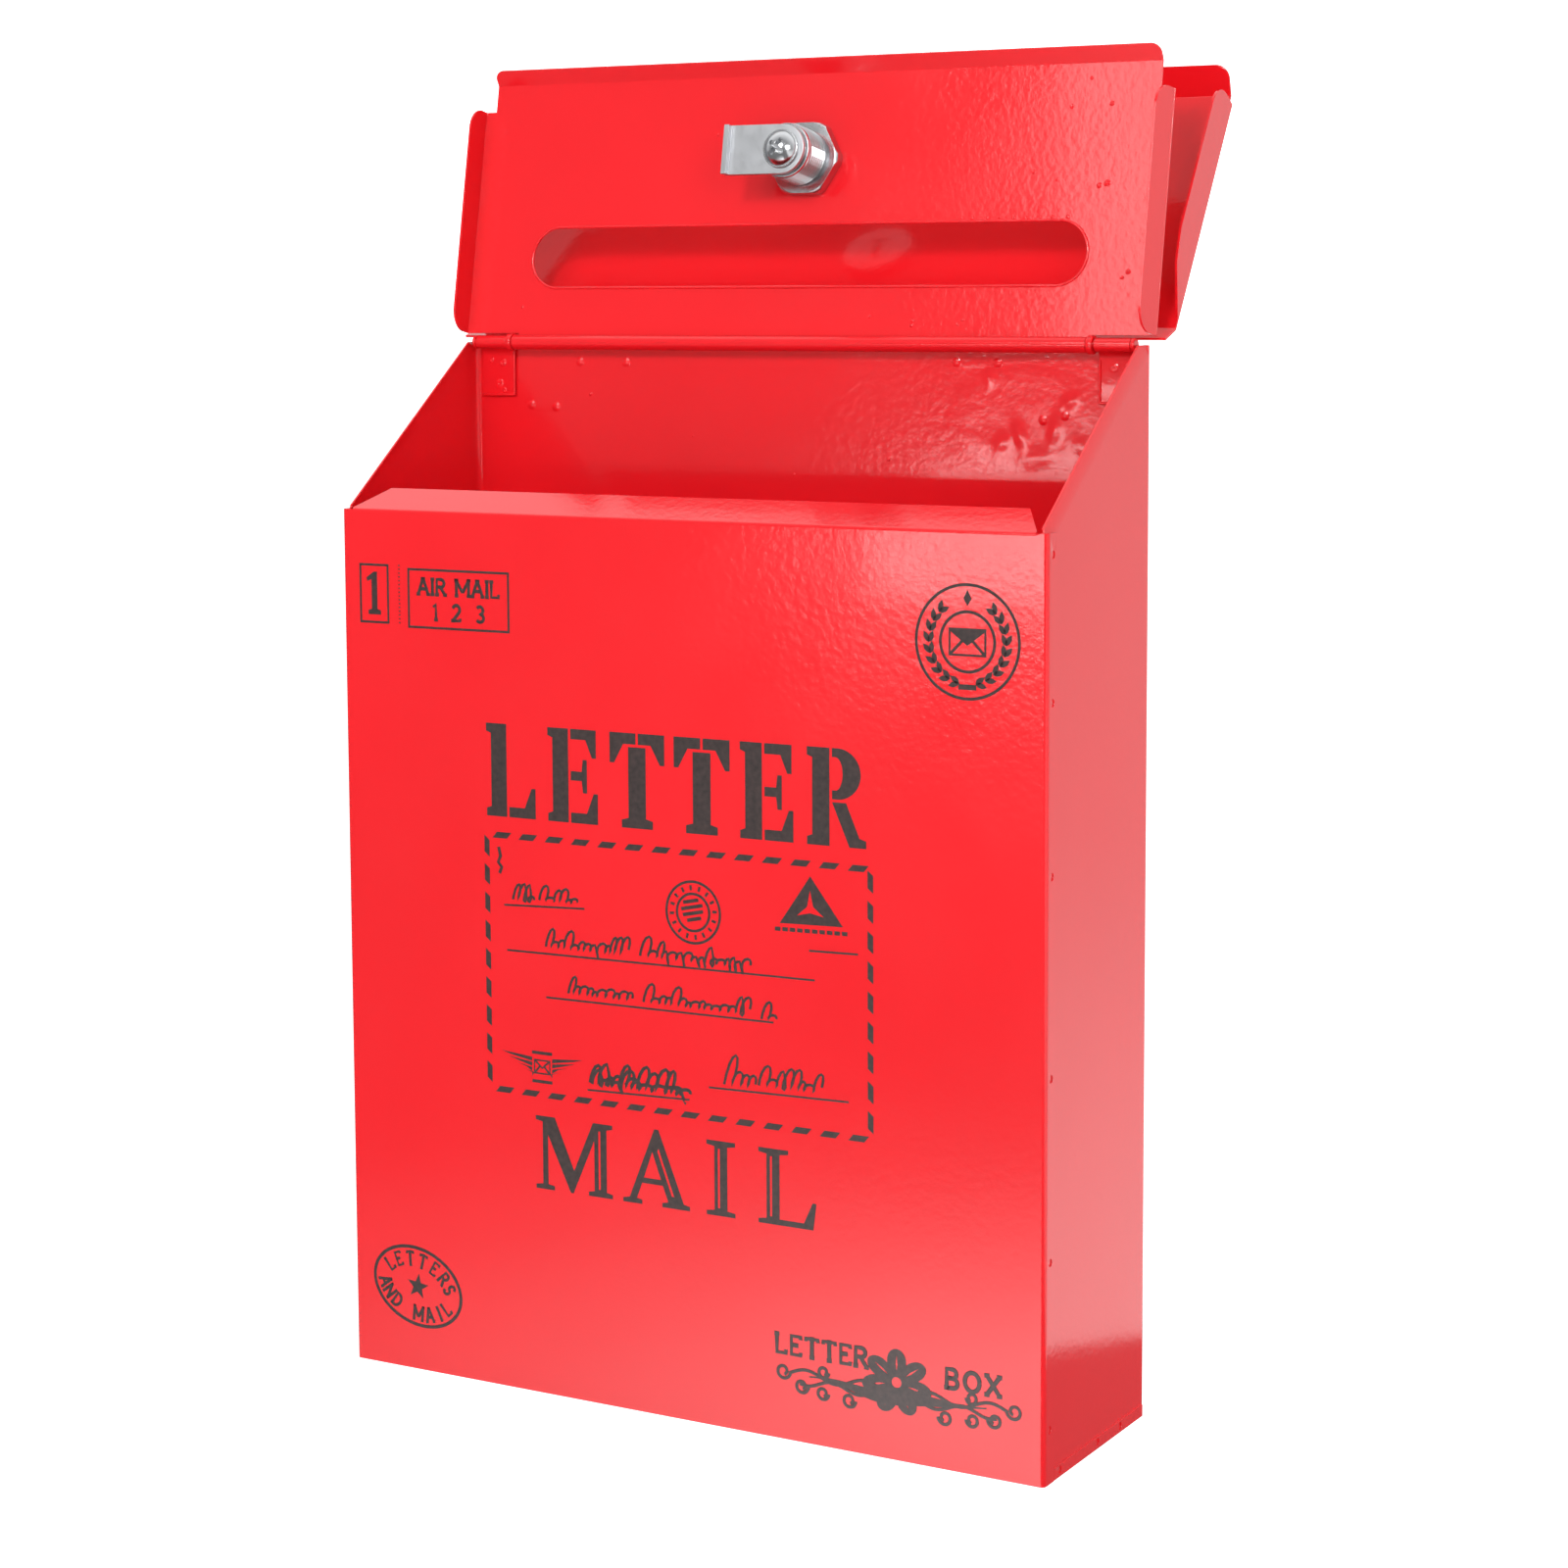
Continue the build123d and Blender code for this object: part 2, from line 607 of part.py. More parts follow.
def cover_ear_right():
    """Eye on the hinge pin with an arm welded under the cover's rear strip."""
    ring = rod_x(EAR_R, EAR_X0, EAR_X1)
    low = -COVER_T / 2 - EAR_ARM_T
    arm = span(EAR_X0, EAR_X1, 0, EAR_ARM_L, low, low + EAR_ARM_T)
    pad = span(EAR_X0, EAR_PAD_X1, EAR_PAD_START, EAR_ARM_L, low, low + EAR_ARM_T)
    bore = rod_x(PIN_R + RUNNING, EAR_X0 - BEYOND, EAR_X1 + BEYOND)
    return cover_place() * (ring + arm + pad - bore)


PARTS = {
    "back_and_sides": back_and_sides(),
    "front_panel": front_panel(),
    "bottom_panel": bottom_panel(),
    "hanger_plate_left": hanger_plate(-1),
    "hanger_plate_right": hanger_plate(1),
    "hinge_leaf_left": mirrored(hinge_leaf_right()),
    "hinge_leaf_right": hinge_leaf_right(),
    "inner_lid": inner_lid(),
    "hinge_pin_left": mirrored(hinge_pin_right()),
    "hinge_pin_right": hinge_pin_right(),
    "lock_housing": lock_housing(),
    "lock_nut": lock_nut(),
    "lock_plug": lock_plug(),
    "lock_wafers": lock_wafers(),
    "cam": cam(),
    "cam_washer": cam_washer(),
    "cam_screw": cam_screw(),
    "outer_cover": outer_cover(),
    "cover_ear_left": mirrored(cover_ear_right()),
    "cover_ear_right": cover_ear_right(),
}

for node, shape in PARTS.items():
    export_step(shape, f"parts/{node}.step")
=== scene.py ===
import bmesh
import bpy
import json
import math
import random
from mathutils import Matrix, Vector
from mathutils.noise import noise as noise_at


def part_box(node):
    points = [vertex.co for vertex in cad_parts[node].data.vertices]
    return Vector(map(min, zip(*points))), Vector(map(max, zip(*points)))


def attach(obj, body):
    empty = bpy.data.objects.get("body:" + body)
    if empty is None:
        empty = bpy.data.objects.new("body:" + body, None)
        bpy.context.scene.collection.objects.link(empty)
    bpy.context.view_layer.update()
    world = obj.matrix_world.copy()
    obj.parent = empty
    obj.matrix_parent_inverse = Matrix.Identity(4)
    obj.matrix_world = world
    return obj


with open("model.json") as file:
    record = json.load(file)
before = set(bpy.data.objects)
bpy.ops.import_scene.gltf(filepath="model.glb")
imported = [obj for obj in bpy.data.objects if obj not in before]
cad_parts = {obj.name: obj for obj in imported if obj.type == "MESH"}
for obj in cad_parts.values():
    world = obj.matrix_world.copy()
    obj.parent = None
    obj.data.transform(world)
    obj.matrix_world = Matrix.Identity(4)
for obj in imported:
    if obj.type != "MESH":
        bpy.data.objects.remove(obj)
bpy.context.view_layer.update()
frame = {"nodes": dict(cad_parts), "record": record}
record = frame["record"]
nodes = frame["nodes"]
MM = 0.001
FRONT_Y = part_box("front_panel")[0].y


def deg(angle):
    return math.radians(angle)


# ---- camera -----------------------------------------------------------------

CAMERA_AT = (0.473862, -0.806031, 0.315778)
CAMERA_YAW = 29.639
CAMERA_PITCH = 5.991
CAMERA_ROLL = -0.246
LENS = 76.262
SHIFT_Y = -0.09375


def make_camera():
    cam = bpy.data.objects.new("camera", bpy.data.cameras.new("camera"))
    bpy.context.scene.collection.objects.link(cam)
    yaw, pitch, roll = deg(CAMERA_YAW), deg(CAMERA_PITCH), deg(CAMERA_ROLL)
    forward = Vector((-math.sin(yaw) * math.cos(pitch), math.cos(yaw) * math.cos(pitch), -math.sin(pitch)))
    level = Vector((math.cos(yaw), math.sin(yaw), 0))
    upright = level.cross(forward)
    right = math.cos(roll) * level + math.sin(roll) * upright
    up = math.cos(roll) * upright - math.sin(roll) * level
    turn = Matrix((right, up, -forward)).transposed()
    cam.matrix_world = Matrix.Translation(CAMERA_AT) @ turn.to_4x4()
    cam.data.sensor_width = 36
    cam.data.lens = LENS
    cam.data.shift_y = SHIFT_Y
    cam.data.clip_start, cam.data.clip_end = 0.05, 50
    bpy.context.scene.camera = cam


make_camera()


# ---- materials --------------------------------------------------------------

def new_material(name):
    mat = bpy.data.materials.new(name)
    mat.use_nodes = True
    tree = mat.node_tree
    tree.nodes.clear()
    out = tree.nodes.new("ShaderNodeOutputMaterial")
    shader = tree.nodes.new("ShaderNodeBsdfPrincipled")
    tree.links.new(shader.outputs[0], out.inputs[0])
    return mat, tree, shader


def coords(tree):
    return tree.nodes.new("ShaderNodeTexCoord").outputs["Object"]


def noise(tree, vector, scale, detail=2.0, roughness=0.5):
    node = tree.nodes.new("ShaderNodeTexNoise")
    node.inputs["Scale"].default_value = scale
    node.inputs["Detail"].default_value = detail
    node.inputs["Roughness"].default_value = roughness
    tree.links.new(vector, node.inputs["Vector"])
    return node.outputs["Fac"]


def ramp(tree, value, stops):
    node = tree.nodes.new("ShaderNodeValToRGB")
    points = node.color_ramp.elements
    while len(points) < len(stops):
        points.new(0.5)
    for point, (at, colour) in zip(points, stops):
        point.position = at
        point.color = (*colour, 1) if len(colour) == 3 else colour
    tree.links.new(value, node.inputs[0])
    return node.outputs[0]


def bump(tree, height, strength, distance, normal=None):
    node = tree.nodes.new("ShaderNodeBump")
    node.inputs["Strength"].default_value = strength
    node.inputs["Distance"].default_value = distance
    tree.links.new(height, node.inputs["Height"])
    if normal is not None:
        tree.links.new(normal, node.inputs["Normal"])
    return node.outputs[0]


def grey(v):
    return (v, v, v)


RED_PALE = (0.86, 0.011, 0.018)
RED_DEEP = (0.80, 0.009, 0.015)
COAT = 0.3
COAT_ROUGHNESS = 0.06
ROUGHNESS = (0.11, 0.16)
WAVE_SCALE, WAVE, WAVE_DEPTH = 14.0, 0.10, 0.004
PEEL_SCALE, PEEL, PEEL_DEPTH = 520.0, 0.13, 0.0004
INK_DARK = (0.022, 0.016, 0.015)
INK_WORN = (0.060, 0.036, 0.034)


def enamel(name):
    """Thick sprayed enamel with a slow wave, a fine orange peel and a thin clear coat."""
    mat, tree, shader = new_material(name)
    where = coords(tree)
    tint = ramp(tree, noise(tree, where, 9.0, 3.0), [(0.3, RED_PALE), (0.7, RED_DEEP)])
    tree.links.new(tint, shader.inputs["Base Color"])
    gloss = ramp(tree, noise(tree, where, 30.0, 4.0), [(0.3, grey(ROUGHNESS[0])), (0.7, grey(ROUGHNESS[1]))])
    tree.links.new(gloss, shader.inputs["Roughness"])
    slow = bump(tree, noise(tree, where, WAVE_SCALE, 1.0), WAVE, WAVE_DEPTH)
    fine = bump(tree, noise(tree, where, PEEL_SCALE, 2.0, 0.55), PEEL, PEEL_DEPTH, slow)
    tree.links.new(fine, shader.inputs["Normal"])
    shader.inputs["Coat Weight"].default_value = COAT
    shader.inputs["Coat Roughness"].default_value = COAT_ROUGHNESS
    shader.inputs["IOR"].default_value = 1.5
    return mat


def plated(name, colour, rough):
    """Bright plated metal, its tint and roughness varying a little."""
    mat, tree, shader = new_material(name)
    where = coords(tree)
    tint = ramp(tree, noise(tree, where, 160.0, 3.0), [
        (0.25, tuple(c * 0.93 for c in colour)),
        (0.75, colour),
    ])
    tree.links.new(tint, shader.inputs["Base Color"])
    smooth, dull = grey(rough * 0.88), grey(rough * 1.18)
    gloss = ramp(tree, noise(tree, where, 300.0, 4.0), [(0.3, smooth), (0.75, dull)])
    tree.links.new(gloss, shader.inputs["Roughness"])
    tree.links.new(bump(tree, noise(tree, where, 900.0, 2.0), 0.08, 0.0002), shader.inputs["Normal"])
    shader.inputs["Metallic"].default_value = 1.0
    return mat


def printed_ink(name):
    """Thin dull ink, a little worn."""
    mat, tree, shader = new_material(name)
    where = coords(tree)
    tint = ramp(tree, noise(tree, where, 700.0, 3.0), [(0.25, INK_DARK), (0.8, INK_WORN)])
    tree.links.new(tint, shader.inputs["Base Color"])
    shader.inputs["Roughness"].default_value = 0.42
    tree.links.new(bump(tree, noise(tree, where, 900.0, 2.0), 0.1, 0.0001), shader.inputs["Normal"])
    return mat


RED = enamel("red_enamel")
ZINC = plated("bright_zinc", (0.63, 0.64, 0.66), 0.20)
SATIN = plated("satin_zinc", (0.56, 0.57, 0.59), 0.32)
BRASS = plated("brass", (0.72, 0.55, 0.25), 0.3)

FINISH = {"red_enamel": RED, "bright_zinc": ZINC, "satin_zinc": SATIN, "brass": BRASS}


# ---- carried-over CAD nodes ---------------------------------------------------

EDGE_SOFTNESS = 0.00018
EDGE_SHARPEST = 32
WELD_REACH = 0.000002


def dress(obj, mat):
    """Gives a CAD node its material and small rounded edges, with even shading on its flats."""
    obj.data.materials.clear()
    obj.data.materials.append(mat)
    for poly in obj.data.polygons:
        poly.use_smooth = True
        poly.material_index = 0
    weld = obj.modifiers.new("weld", "WELD")
    weld.merge_threshold = WELD_REACH
    soft = obj.modifiers.new("edge", "BEVEL")
    soft.width = EDGE_SOFTNESS
    soft.segments = 2
    soft.limit_method = "ANGLE"
    soft.angle_limit = deg(EDGE_SHARPEST)
    soft.harden_normals = True
    soft.use_clamp_overlap = True
    flat = obj.modifiers.new("flat", "WEIGHTED_NORMAL")
    flat.mode = "FACE_AREA"
    flat.weight = 100
    flat.keep_sharp = True
    obj.data.update()


for entry in record["subparts"]:
    dress(nodes[entry["node"]], FINISH[entry["material_slot"]])


# ---- marks in the sheet and the paint -------------------------------------------

joints = {joint["name"]: joint for joint in record["behaviour"]["joints"]}
HINGE_AT = Vector(joints["lid_hinge"]["pos_m"])
LOCK_AT = Vector(joints["cam_turn"]["pos_m"])
LID_OUT = -Vector(joints["cam_turn"]["axis"])
LID_UP = LID_OUT.cross(Vector((1, 0, 0)))
BLISTER_RINGS = 6
BLISTER_SEGMENTS = 20
SUNK = 0.00004


def mesh_piece(name, verts, faces, mat, body):
    """A smooth-shaded mesh object that rides on a body."""
    mesh = bpy.data.meshes.new(name)
    mesh.from_pydata([tuple(v) for v in verts], [], faces)
    mesh.materials.append(mat)
    for poly in mesh.polygons:
        poly.use_smooth = True
    obj = bpy.data.objects.new(name, mesh)
    bpy.context.scene.collection.objects.link(obj)
    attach(obj, body)
    return obj


def surface(node, start, direction):
    """Where a ray from start first meets a CAD node."""
    found, place, normal, _ = nodes[node].ray_cast(start, direction)
    assert found, f"no surface of {node} under {tuple(start)}"
    return place, normal


def blister(verts, faces, place, normal, radius, rise, dip, rng):
    """A small raised spot with a dip in its middle, its rim sunk in the surface."""
    along = normal.orthogonal().normalized()
    across = normal.cross(along)
    first = len(verts)
    verts.append(place + normal * (rise - dip))
    phase = rng.uniform(0, math.tau)
    squash = rng.uniform(0.82, 1.0)
    for ring in range(1, BLISTER_RINGS + 1):
        t = ring / BLISTER_RINGS
        height = rise * math.cos(math.pi / 2 * t) ** 1.2 - dip * math.exp(-(t / 0.4) ** 2)
        if ring == BLISTER_RINGS:
            height = -SUNK
        for i in range(BLISTER_SEGMENTS):
            a = math.tau * i / BLISTER_SEGMENTS
            reach = radius * t * (1 + 0.08 * math.sin(2 * a + phase) + 0.05 * math.sin(3 * a - phase))
            level = along * reach * math.cos(a) + across * reach * squash * math.sin(a)
            verts.append(place + level + normal * height)
    for i in range(BLISTER_SEGMENTS):
        j = (i + 1) % BLISTER_SEGMENTS
        faces.append((first, first + 1 + i, first + 1 + j))
        for ring in range(BLISTER_RINGS - 1):
            a, b = first + 1 + ring * BLISTER_SEGMENTS, first + 1 + (ring + 1) * BLISTER_SEGMENTS
            faces.append((a + i, b + i, b + j, a + j))


def blisters(name, node, spots, body, seed):
    """Spots are (start, direction, radius, rise, dip), the last three in mm."""
    bpy.context.view_layer.update()
    rng = random.Random(seed)
    verts, faces = [], []
    for start, direction, radius, rise, dip in spots:
        place, normal = surface(node, start, direction)
        blister(verts, faces, place, normal, radius * MM, rise * MM, dip * MM, rng)
    return mesh_piece(name, verts, faces, RED, body)


def lid_start(x, along):
    """A point in front of the inner lid, x mm across and along mm up from the hinge."""
    return HINGE_AT + Vector((x * MM, 0, 0)) + LID_UP * along * MM + LID_OUT * 0.02


def paint_nibs():
    """Specks of dried paint on the lid's inner face, most of them at its right end."""
    nibs = [
        (83.5, 66.9, 0.8, 0.35), (95.6, 67.3, 0.8, 0.3), (96.0, 45.2, 1.2, 0.5), (93.6, 44.6, 0.9, 0.35),
        (73.4, 48.7, 0.6, 0.25), (80.5, 46.4, 0.55, 0.2), (104.2, 20.5, 0.9, 0.35), (102.6, 18.9, 0.7, 0.25),
        (54.9, 7.2, 0.6, 0.25), (53.4, 5.9, 0.5, 0.2), (25.2, 8.1, 0.6, 0.25), (88.8, 74.6, 0.6, 0.2),
        (38.9, 5.6, 0.7, 0.35), (39.1, 6.9, 0.6, 0.3), (-94.0, 11.0, 0.6, 0.2), (-30.0, 62.0, 0.5, 0.2),
    ]
    for i in range(9):
        nibs.append((52.0 + 4.1 * i - 0.7 * (i % 2), 36.0, 0.45 + 0.15 * (i % 3), 0.2))
    spots = [(lid_start(x, along), -LID_OUT, radius, rise, 0) for x, along, radius, rise in nibs]
    blisters("lid_paint_nibs", "inner_lid", spots, "inner_lid", 3)
    inside = [
        (-70.0, 284.5, 0.7, 0.3), (31.0, 267.0, 0.6, 0.25), (-34.3, 272.6, 0.5, 0.2), (0.0, 262.0, 0.5, 0.2),
    ]
    spots = [((x * MM, 0, z * MM), (0, 1, 0), radius, rise, 0) for x, z, radius, rise in inside]
    blisters("back_paint_nibs", "back_and_sides", spots, "box", 4)


SEAM_INSET = 2.9


def weld_marks():
    """Craters where the hinge leaves and the front's side returns are spot welded."""
    leaf_welds = ((105.2, 294.4, 1.0), (101.2, 293.6, 1.5), (102.4, 287.2, 1.7), (100.6, 285.4, 0.9))
    seam_welds = ((60.3, 2.0), (109.6, 1.8), (163.2, 2.1), (208.8, 1.9), (247.3, 1.7))
    for node, sign in (("hinge_leaf_left", -1), ("hinge_leaf_right", 1)):
        spots = []
        for x, z, radius in leaf_welds:
            spots.append(((sign * x * MM, 0, z * MM), (0, 1, 0), radius, 0.34, 0.3))
        blisters(node + "_welds", node, spots, "box", 5 + sign)
    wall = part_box("back_and_sides")[1].x
    for side, sign in (("left", -1), ("right", 1)):
        spots = []
        for z, radius in seam_welds:
            start = (sign * (wall + 0.02), FRONT_Y + SEAM_INSET * MM, z * MM)
            spots.append((start, (-sign, 0, 0), radius, 0.42, 0.46))
        blisters("seam_welds_" + side, "back_and_sides", spots, "box", 8 + sign)


DENT_X, DENT_Z, DENT_HALF_W, DENT_HALF_H = 74.0, 279.5, 29.0, 17.5
DENT_STEP = 0.8
# Each dent: x, z, its two half-widths, its rise and its turn.
DENTS = (
    (72.4, 274.8, 1.5, 3.6, 0.30, 20), (83.2, 276.4, 1.5, 4.0, 0.30, -12), (87.8, 284.4, 2.6, 1.4, 0.26, 35),
    (67.0, 272.6, 3.0, 2.0, 0.16, 30), (92.0, 271.5, 4.0, 2.2, 0.14, -25), (78.8, 268.8, 5.0, 2.4, 0.10, 10),
    (62.4, 291.2, 1.1, 2.6, 0.22, 15), (50.4, 290.8, 1.1, 2.4, 0.16, 20),
)


def back_dents():
    """The puckered sheet round the right-hand welds, on the back's inner face."""
    wall, _ = surface("back_and_sides", (0, 0, DENT_Z * MM), (0, 1, 0))
    across = int(2 * DENT_HALF_W / DENT_STEP)
    up = int(2 * DENT_HALF_H / DENT_STEP)
    verts, faces = [], []
    for j in range(up + 1):
        for i in range(across + 1):
            u, v = 2 * i / across - 1, 2 * j / up - 1
            x, z = DENT_X + u * DENT_HALF_W, DENT_Z + v * DENT_HALF_H
            rise = 0.05 + 0.025 * noise_at(Vector((x, z, 0)) * 0.2) + 0.01 * noise_at(Vector((x, z, 9)) * 0.6)
            for cx, cz, half_x, half_z, height, turn in DENTS:
                c, s = math.cos(deg(turn)), math.sin(deg(turn))
                p, q = (x - cx) * c + (z - cz) * s, (z - cz) * c - (x - cx) * s
                rise += height * math.exp(-(p / half_x) ** 2 - (q / half_z) ** 2)
            fade = min(1.0, max(0.0, 1 - u * u - v * v) / 0.6)
            fade = fade * fade * (3 - 2 * fade)
            verts.append((x * MM, wall.y - (rise * fade - 0.03 * (1 - fade)) * MM, z * MM))
    for j in range(up):
        for i in range(across):
            a = j * (across + 1) + i
            faces.append((a, a + 1, a + across + 2, a + across + 1))
    mesh_piece("back_dents", verts, faces, RED, "box")


THREAD_PITCH = 1.15
THREAD_CREST = 0.32
THREAD_TURN_STEPS = 40
THREAD_RUN_IN = 12
THREAD_SQUEEZE = 0.9


def barrel_thread():
    """A rolled thread on the lock's barrel, from the nut's face to near the barrel's end."""
    def reach(node):
        heights = [(v.co - LOCK_AT).dot(LID_OUT) for v in nodes[node].data.vertices]
        return max(heights)
    start, end = reach("lock_nut") + 0.2 * MM, reach("lock_housing") - 1.0 * MM
    radius = outer_radius("lock_housing", (start + end) / 2)
    along = Vector((1, 0, 0))
    across = LID_OUT.cross(along)
    turns = (end - start) / (THREAD_PITCH * MM)
    steps = int(turns * THREAD_TURN_STEPS)
    profile = ((-0.06, -0.46), (THREAD_CREST, -0.12), (THREAD_CREST, 0.12), (-0.06, 0.46))
    verts, faces = [], []
    for i in range(steps + 1):
        a = math.tau * i / THREAD_TURN_STEPS
        spoke = along * math.cos(a) + across * math.sin(a)
        height = start + (end - start) * i / steps
        taper = min(1.0, i / THREAD_RUN_IN, (steps - i) / THREAD_RUN_IN)
        for out, side in profile:
            level = LID_OUT * (height + side * MM * THREAD_SQUEEZE)
            verts.append(LOCK_AT + level + spoke * (radius + out * MM * (taper if out > 0 else 1)))
    for i in range(steps):
        for k in range(4):
            a, b = i * 4 + k, i * 4 + (k + 1) % 4
            faces.append((a, b, b + 4, a + 4))
    faces.append((3, 2, 1, 0))
    faces.append(tuple(steps * 4 + k for k in range(4)))
    thread = mesh_piece("barrel_thread", verts, faces, ZINC, "inner_lid")
    for poly in thread.data.polygons:
        poly.use_smooth = False


SLOT_MIDDLE = 25.9
LID_SHEET = 0.6
BEAD_R = 0.40
BEAD_SEGMENTS = 10
BEAD_ARC_STEPS = 28
BEAD_RUN_STEPS = 150
LEAF_BEAD_R = 0.42
LEAF_BEAD_TOP = 14.0
LEAF_BEAD_STEPS = 24


def slot_edge():
    """Closed row of (across, along) points round the letter slot, from its cut edge."""
    face, _ = surface("inner_lid", lid_start(40.0, 2 * SLOT_MIDDLE), -LID_OUT)
    depth = (face - HINGE_AT).dot(LID_OUT) - LID_SHEET / 2 * MM
    middle = HINGE_AT + LID_UP * SLOT_MIDDLE * MM + LID_OUT * depth
    over = (surface("inner_lid", middle, LID_UP)[0] - middle).length
    under = (surface("inner_lid", middle, -LID_UP)[0] - middle).length
    radius = (over + under) / 2
    run = surface("inner_lid", middle, Vector((1, 0, 0)))[0].x - radius
    at = middle + LID_UP * (over - under) / 2 + LID_OUT * LID_SHEET / 2 * MM
    points = []
    for side in (1, -1):
        for i in range(BEAD_ARC_STEPS):
            turn = side * math.pi / 2 - math.pi * i / BEAD_ARC_STEPS
            points.append((side * run + radius * math.cos(turn), radius * math.sin(turn)))
        for i in range(BEAD_RUN_STEPS):
            points.append((side * run * (1 - 2 * i / BEAD_RUN_STEPS), -side * radius))
    return at, points


def bead(name, places, face, closed, body, thickness):
    """Ridge of thick paint along a row of places; face is the sheet's outward normal."""
    verts, faces = [], []
    count = len(places)
    for i, place in enumerate(places):
        before = places[i - 1] if i or closed else place
        after = places[(i + 1) % count] if i + 1 < count or closed else place
        outward = face.cross((after - before).normalized())
        size = thickness * MM * (1 + 0.22 * noise_at(place * 90) + 0.1 * noise_at(place * 400))
        for j in range(BEAD_SEGMENTS):
            a = math.tau * j / BEAD_SEGMENTS
            verts.append(place + outward * size * math.cos(a) + face * size * math.sin(a))
    for i in range(count if closed else count - 1):
        k = (i + 1) % count
        for j in range(BEAD_SEGMENTS):
            n = (j + 1) % BEAD_SEGMENTS
            faces.append((
                i * BEAD_SEGMENTS + j, i * BEAD_SEGMENTS + n, k * BEAD_SEGMENTS + n, k * BEAD_SEGMENTS + j,
            ))
    if not closed:
        last = (count - 1) * BEAD_SEGMENTS
        faces.append(tuple(range(BEAD_SEGMENTS)))
        faces.append(tuple(range(last, last + BEAD_SEGMENTS)))
    mesh_piece(name, verts, faces, RED, body)


def slot_bead():
    """Paint drawn into a rounded ridge along the letter slot's edge."""
    at, points = slot_edge()
    places = [at + Vector((x, 0, 0)) + LID_UP * up for x, up in points]
    bead("slot_edge_bead", places, LID_OUT, True, "inner_lid", BEAD_R)


def leaf_beads():
    """Paint along the inner and lower edges of the two hinge leaves."""
    for side, word in ((-1, "left"), (1, "right")):
        node = f"hinge_leaf_{word}"
        low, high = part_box(node)
        middle = (low.x + high.x) / 2
        face, _ = surface(node, Vector((middle, -0.02, low.z + 0.003)), Vector((0, 1, 0)))
        inner, outer = (low.x, high.x) if side > 0 else (high.x, low.x)
        top = low.z + LEAF_BEAD_TOP * MM
        corner = Vector((inner, face.y, low.z))
        start = Vector((inner, face.y, top))
        end = Vector((outer, face.y, low.z))
        places = [start.lerp(corner, i / LEAF_BEAD_STEPS) for i in range(LEAF_BEAD_STEPS)]
        places += [corner.lerp(end, i / LEAF_BEAD_STEPS) for i in range(LEAF_BEAD_STEPS + 1)]
        bead(f"hinge_leaf_bead_{word}", places, Vector((0, -side, 0)), False, "box", LEAF_BEAD_R)


CLEAR_OF_LOCK = 0.03


def outer_radius(node, height):
    """The node's outer radius about the lock's axis, at a height over the lid."""
    start = LOCK_AT + LID_OUT * height + Vector((CLEAR_OF_LOCK, 0, 0))
    place, _ = surface(node, start, (-1, 0, 0))
    return abs(place.x - LOCK_AT.x)


paint_nibs()
weld_marks()
back_dents()
slot_bead()
leaf_beads()
barrel_thread()


# ---- printed artwork on the front ---------------------------------------------

PRINT_Y = FRONT_Y - 0.00003
INK_HALF = 0.00002
LAYER = 0.000012
INK = printed_ink("black_ink")


def to_mesh(obj, name, mat, body):
    """Turns a curve or text object into a mesh piece that rides on a body."""
    bpy.context.view_layer.update()
    graph = bpy.context.evaluated_depsgraph_get()
    mesh = bpy.data.meshes.new_from_object(obj.evaluated_get(graph))
    mesh.transform(obj.matrix_world)
    bpy.data.objects.remove(obj)
    mesh.materials.clear()
    mesh.materials.append(mat)
    made = bpy.data.objects.new(name, mesh)
    bpy.context.scene.collection.objects.link(made)
    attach(made, body)
    return made


def upright_curve(name, dimensions):
    """A curve whose X and Y lie along the front's X and Z."""
    curve = bpy.data.curves.new(name, "CURVE")
    curve.dimensions = dimensions
    obj = bpy.data.objects.new(name, curve)
    bpy.context.scene.collection.objects.link(obj)
    obj.rotation_euler = (deg(90), 0, 0)
    obj.location = (0, PRINT_Y, 0)
    return obj


def printed_shapes(name, loops, layer=0):
    """Filled outlines in (x, z) mm; a loop inside another is a hole. Higher layers lie on top."""
    obj = upright_curve(name + "_outline", "2D")
    obj.location.y -= layer * LAYER
    obj.data.fill_mode = "BOTH"
    obj.data.extrude = INK_HALF
    for loop in loops:
        spline = obj.data.splines.new("POLY")
        spline.points.add(len(loop) - 1)
        for point, (x, z) in zip(spline.points, loop):
            point.co = (x * MM, z * MM, 0, 1)
        spline.use_cyclic_u = True
    return to_mesh(obj, name, INK, "box")


def printed_lines(name, lines, width):
    """Flattened strokes along (x, z) mm paths; each path is (points, closed)."""
    obj = upright_curve(name + "_strokes", "3D")
    obj.data.bevel_depth = width / 2 * MM
    obj.data.bevel_resolution = 2
    obj.data.use_fill_caps = True
    obj.scale = (1, 1, INK_HALF / (width / 2 * MM))
    for points, closed in lines:
        spline = obj.data.splines.new("POLY")
        spline.points.add(len(points) - 1)
        for point, (x, z) in zip(spline.points, points):
            point.co = (x * MM, z * MM, 0, 1)
        spline.use_cyclic_u = closed
    return to_mesh(obj, name, INK, "box")


def rect(x0, z0, x1, z1):
    return [(x0, z0), (x1, z0), (x1, z1), (x0, z1)]


def moved(loop, dx, dz, sx=1.0, sz=1.0):
    return [(x * sx + dx, z * sz + dz) for x, z in loop]


def arc(cx, cz, rx, rz, start, end, count=24):
    steps = [deg(start + (end - start) * i / count) for i in range(count + 1)]
    return [(cx + rx * math.cos(a), cz + rz * math.sin(a)) for a in steps]


def turned_loop(loop, angle, cx, cz):
    c, s = math.cos(deg(angle)), math.sin(deg(angle))
    return [(cx + (x - cx) * c - (z - cz) * s, cz + (x - cx) * s + (z - cz) * c) for x, z in loop]


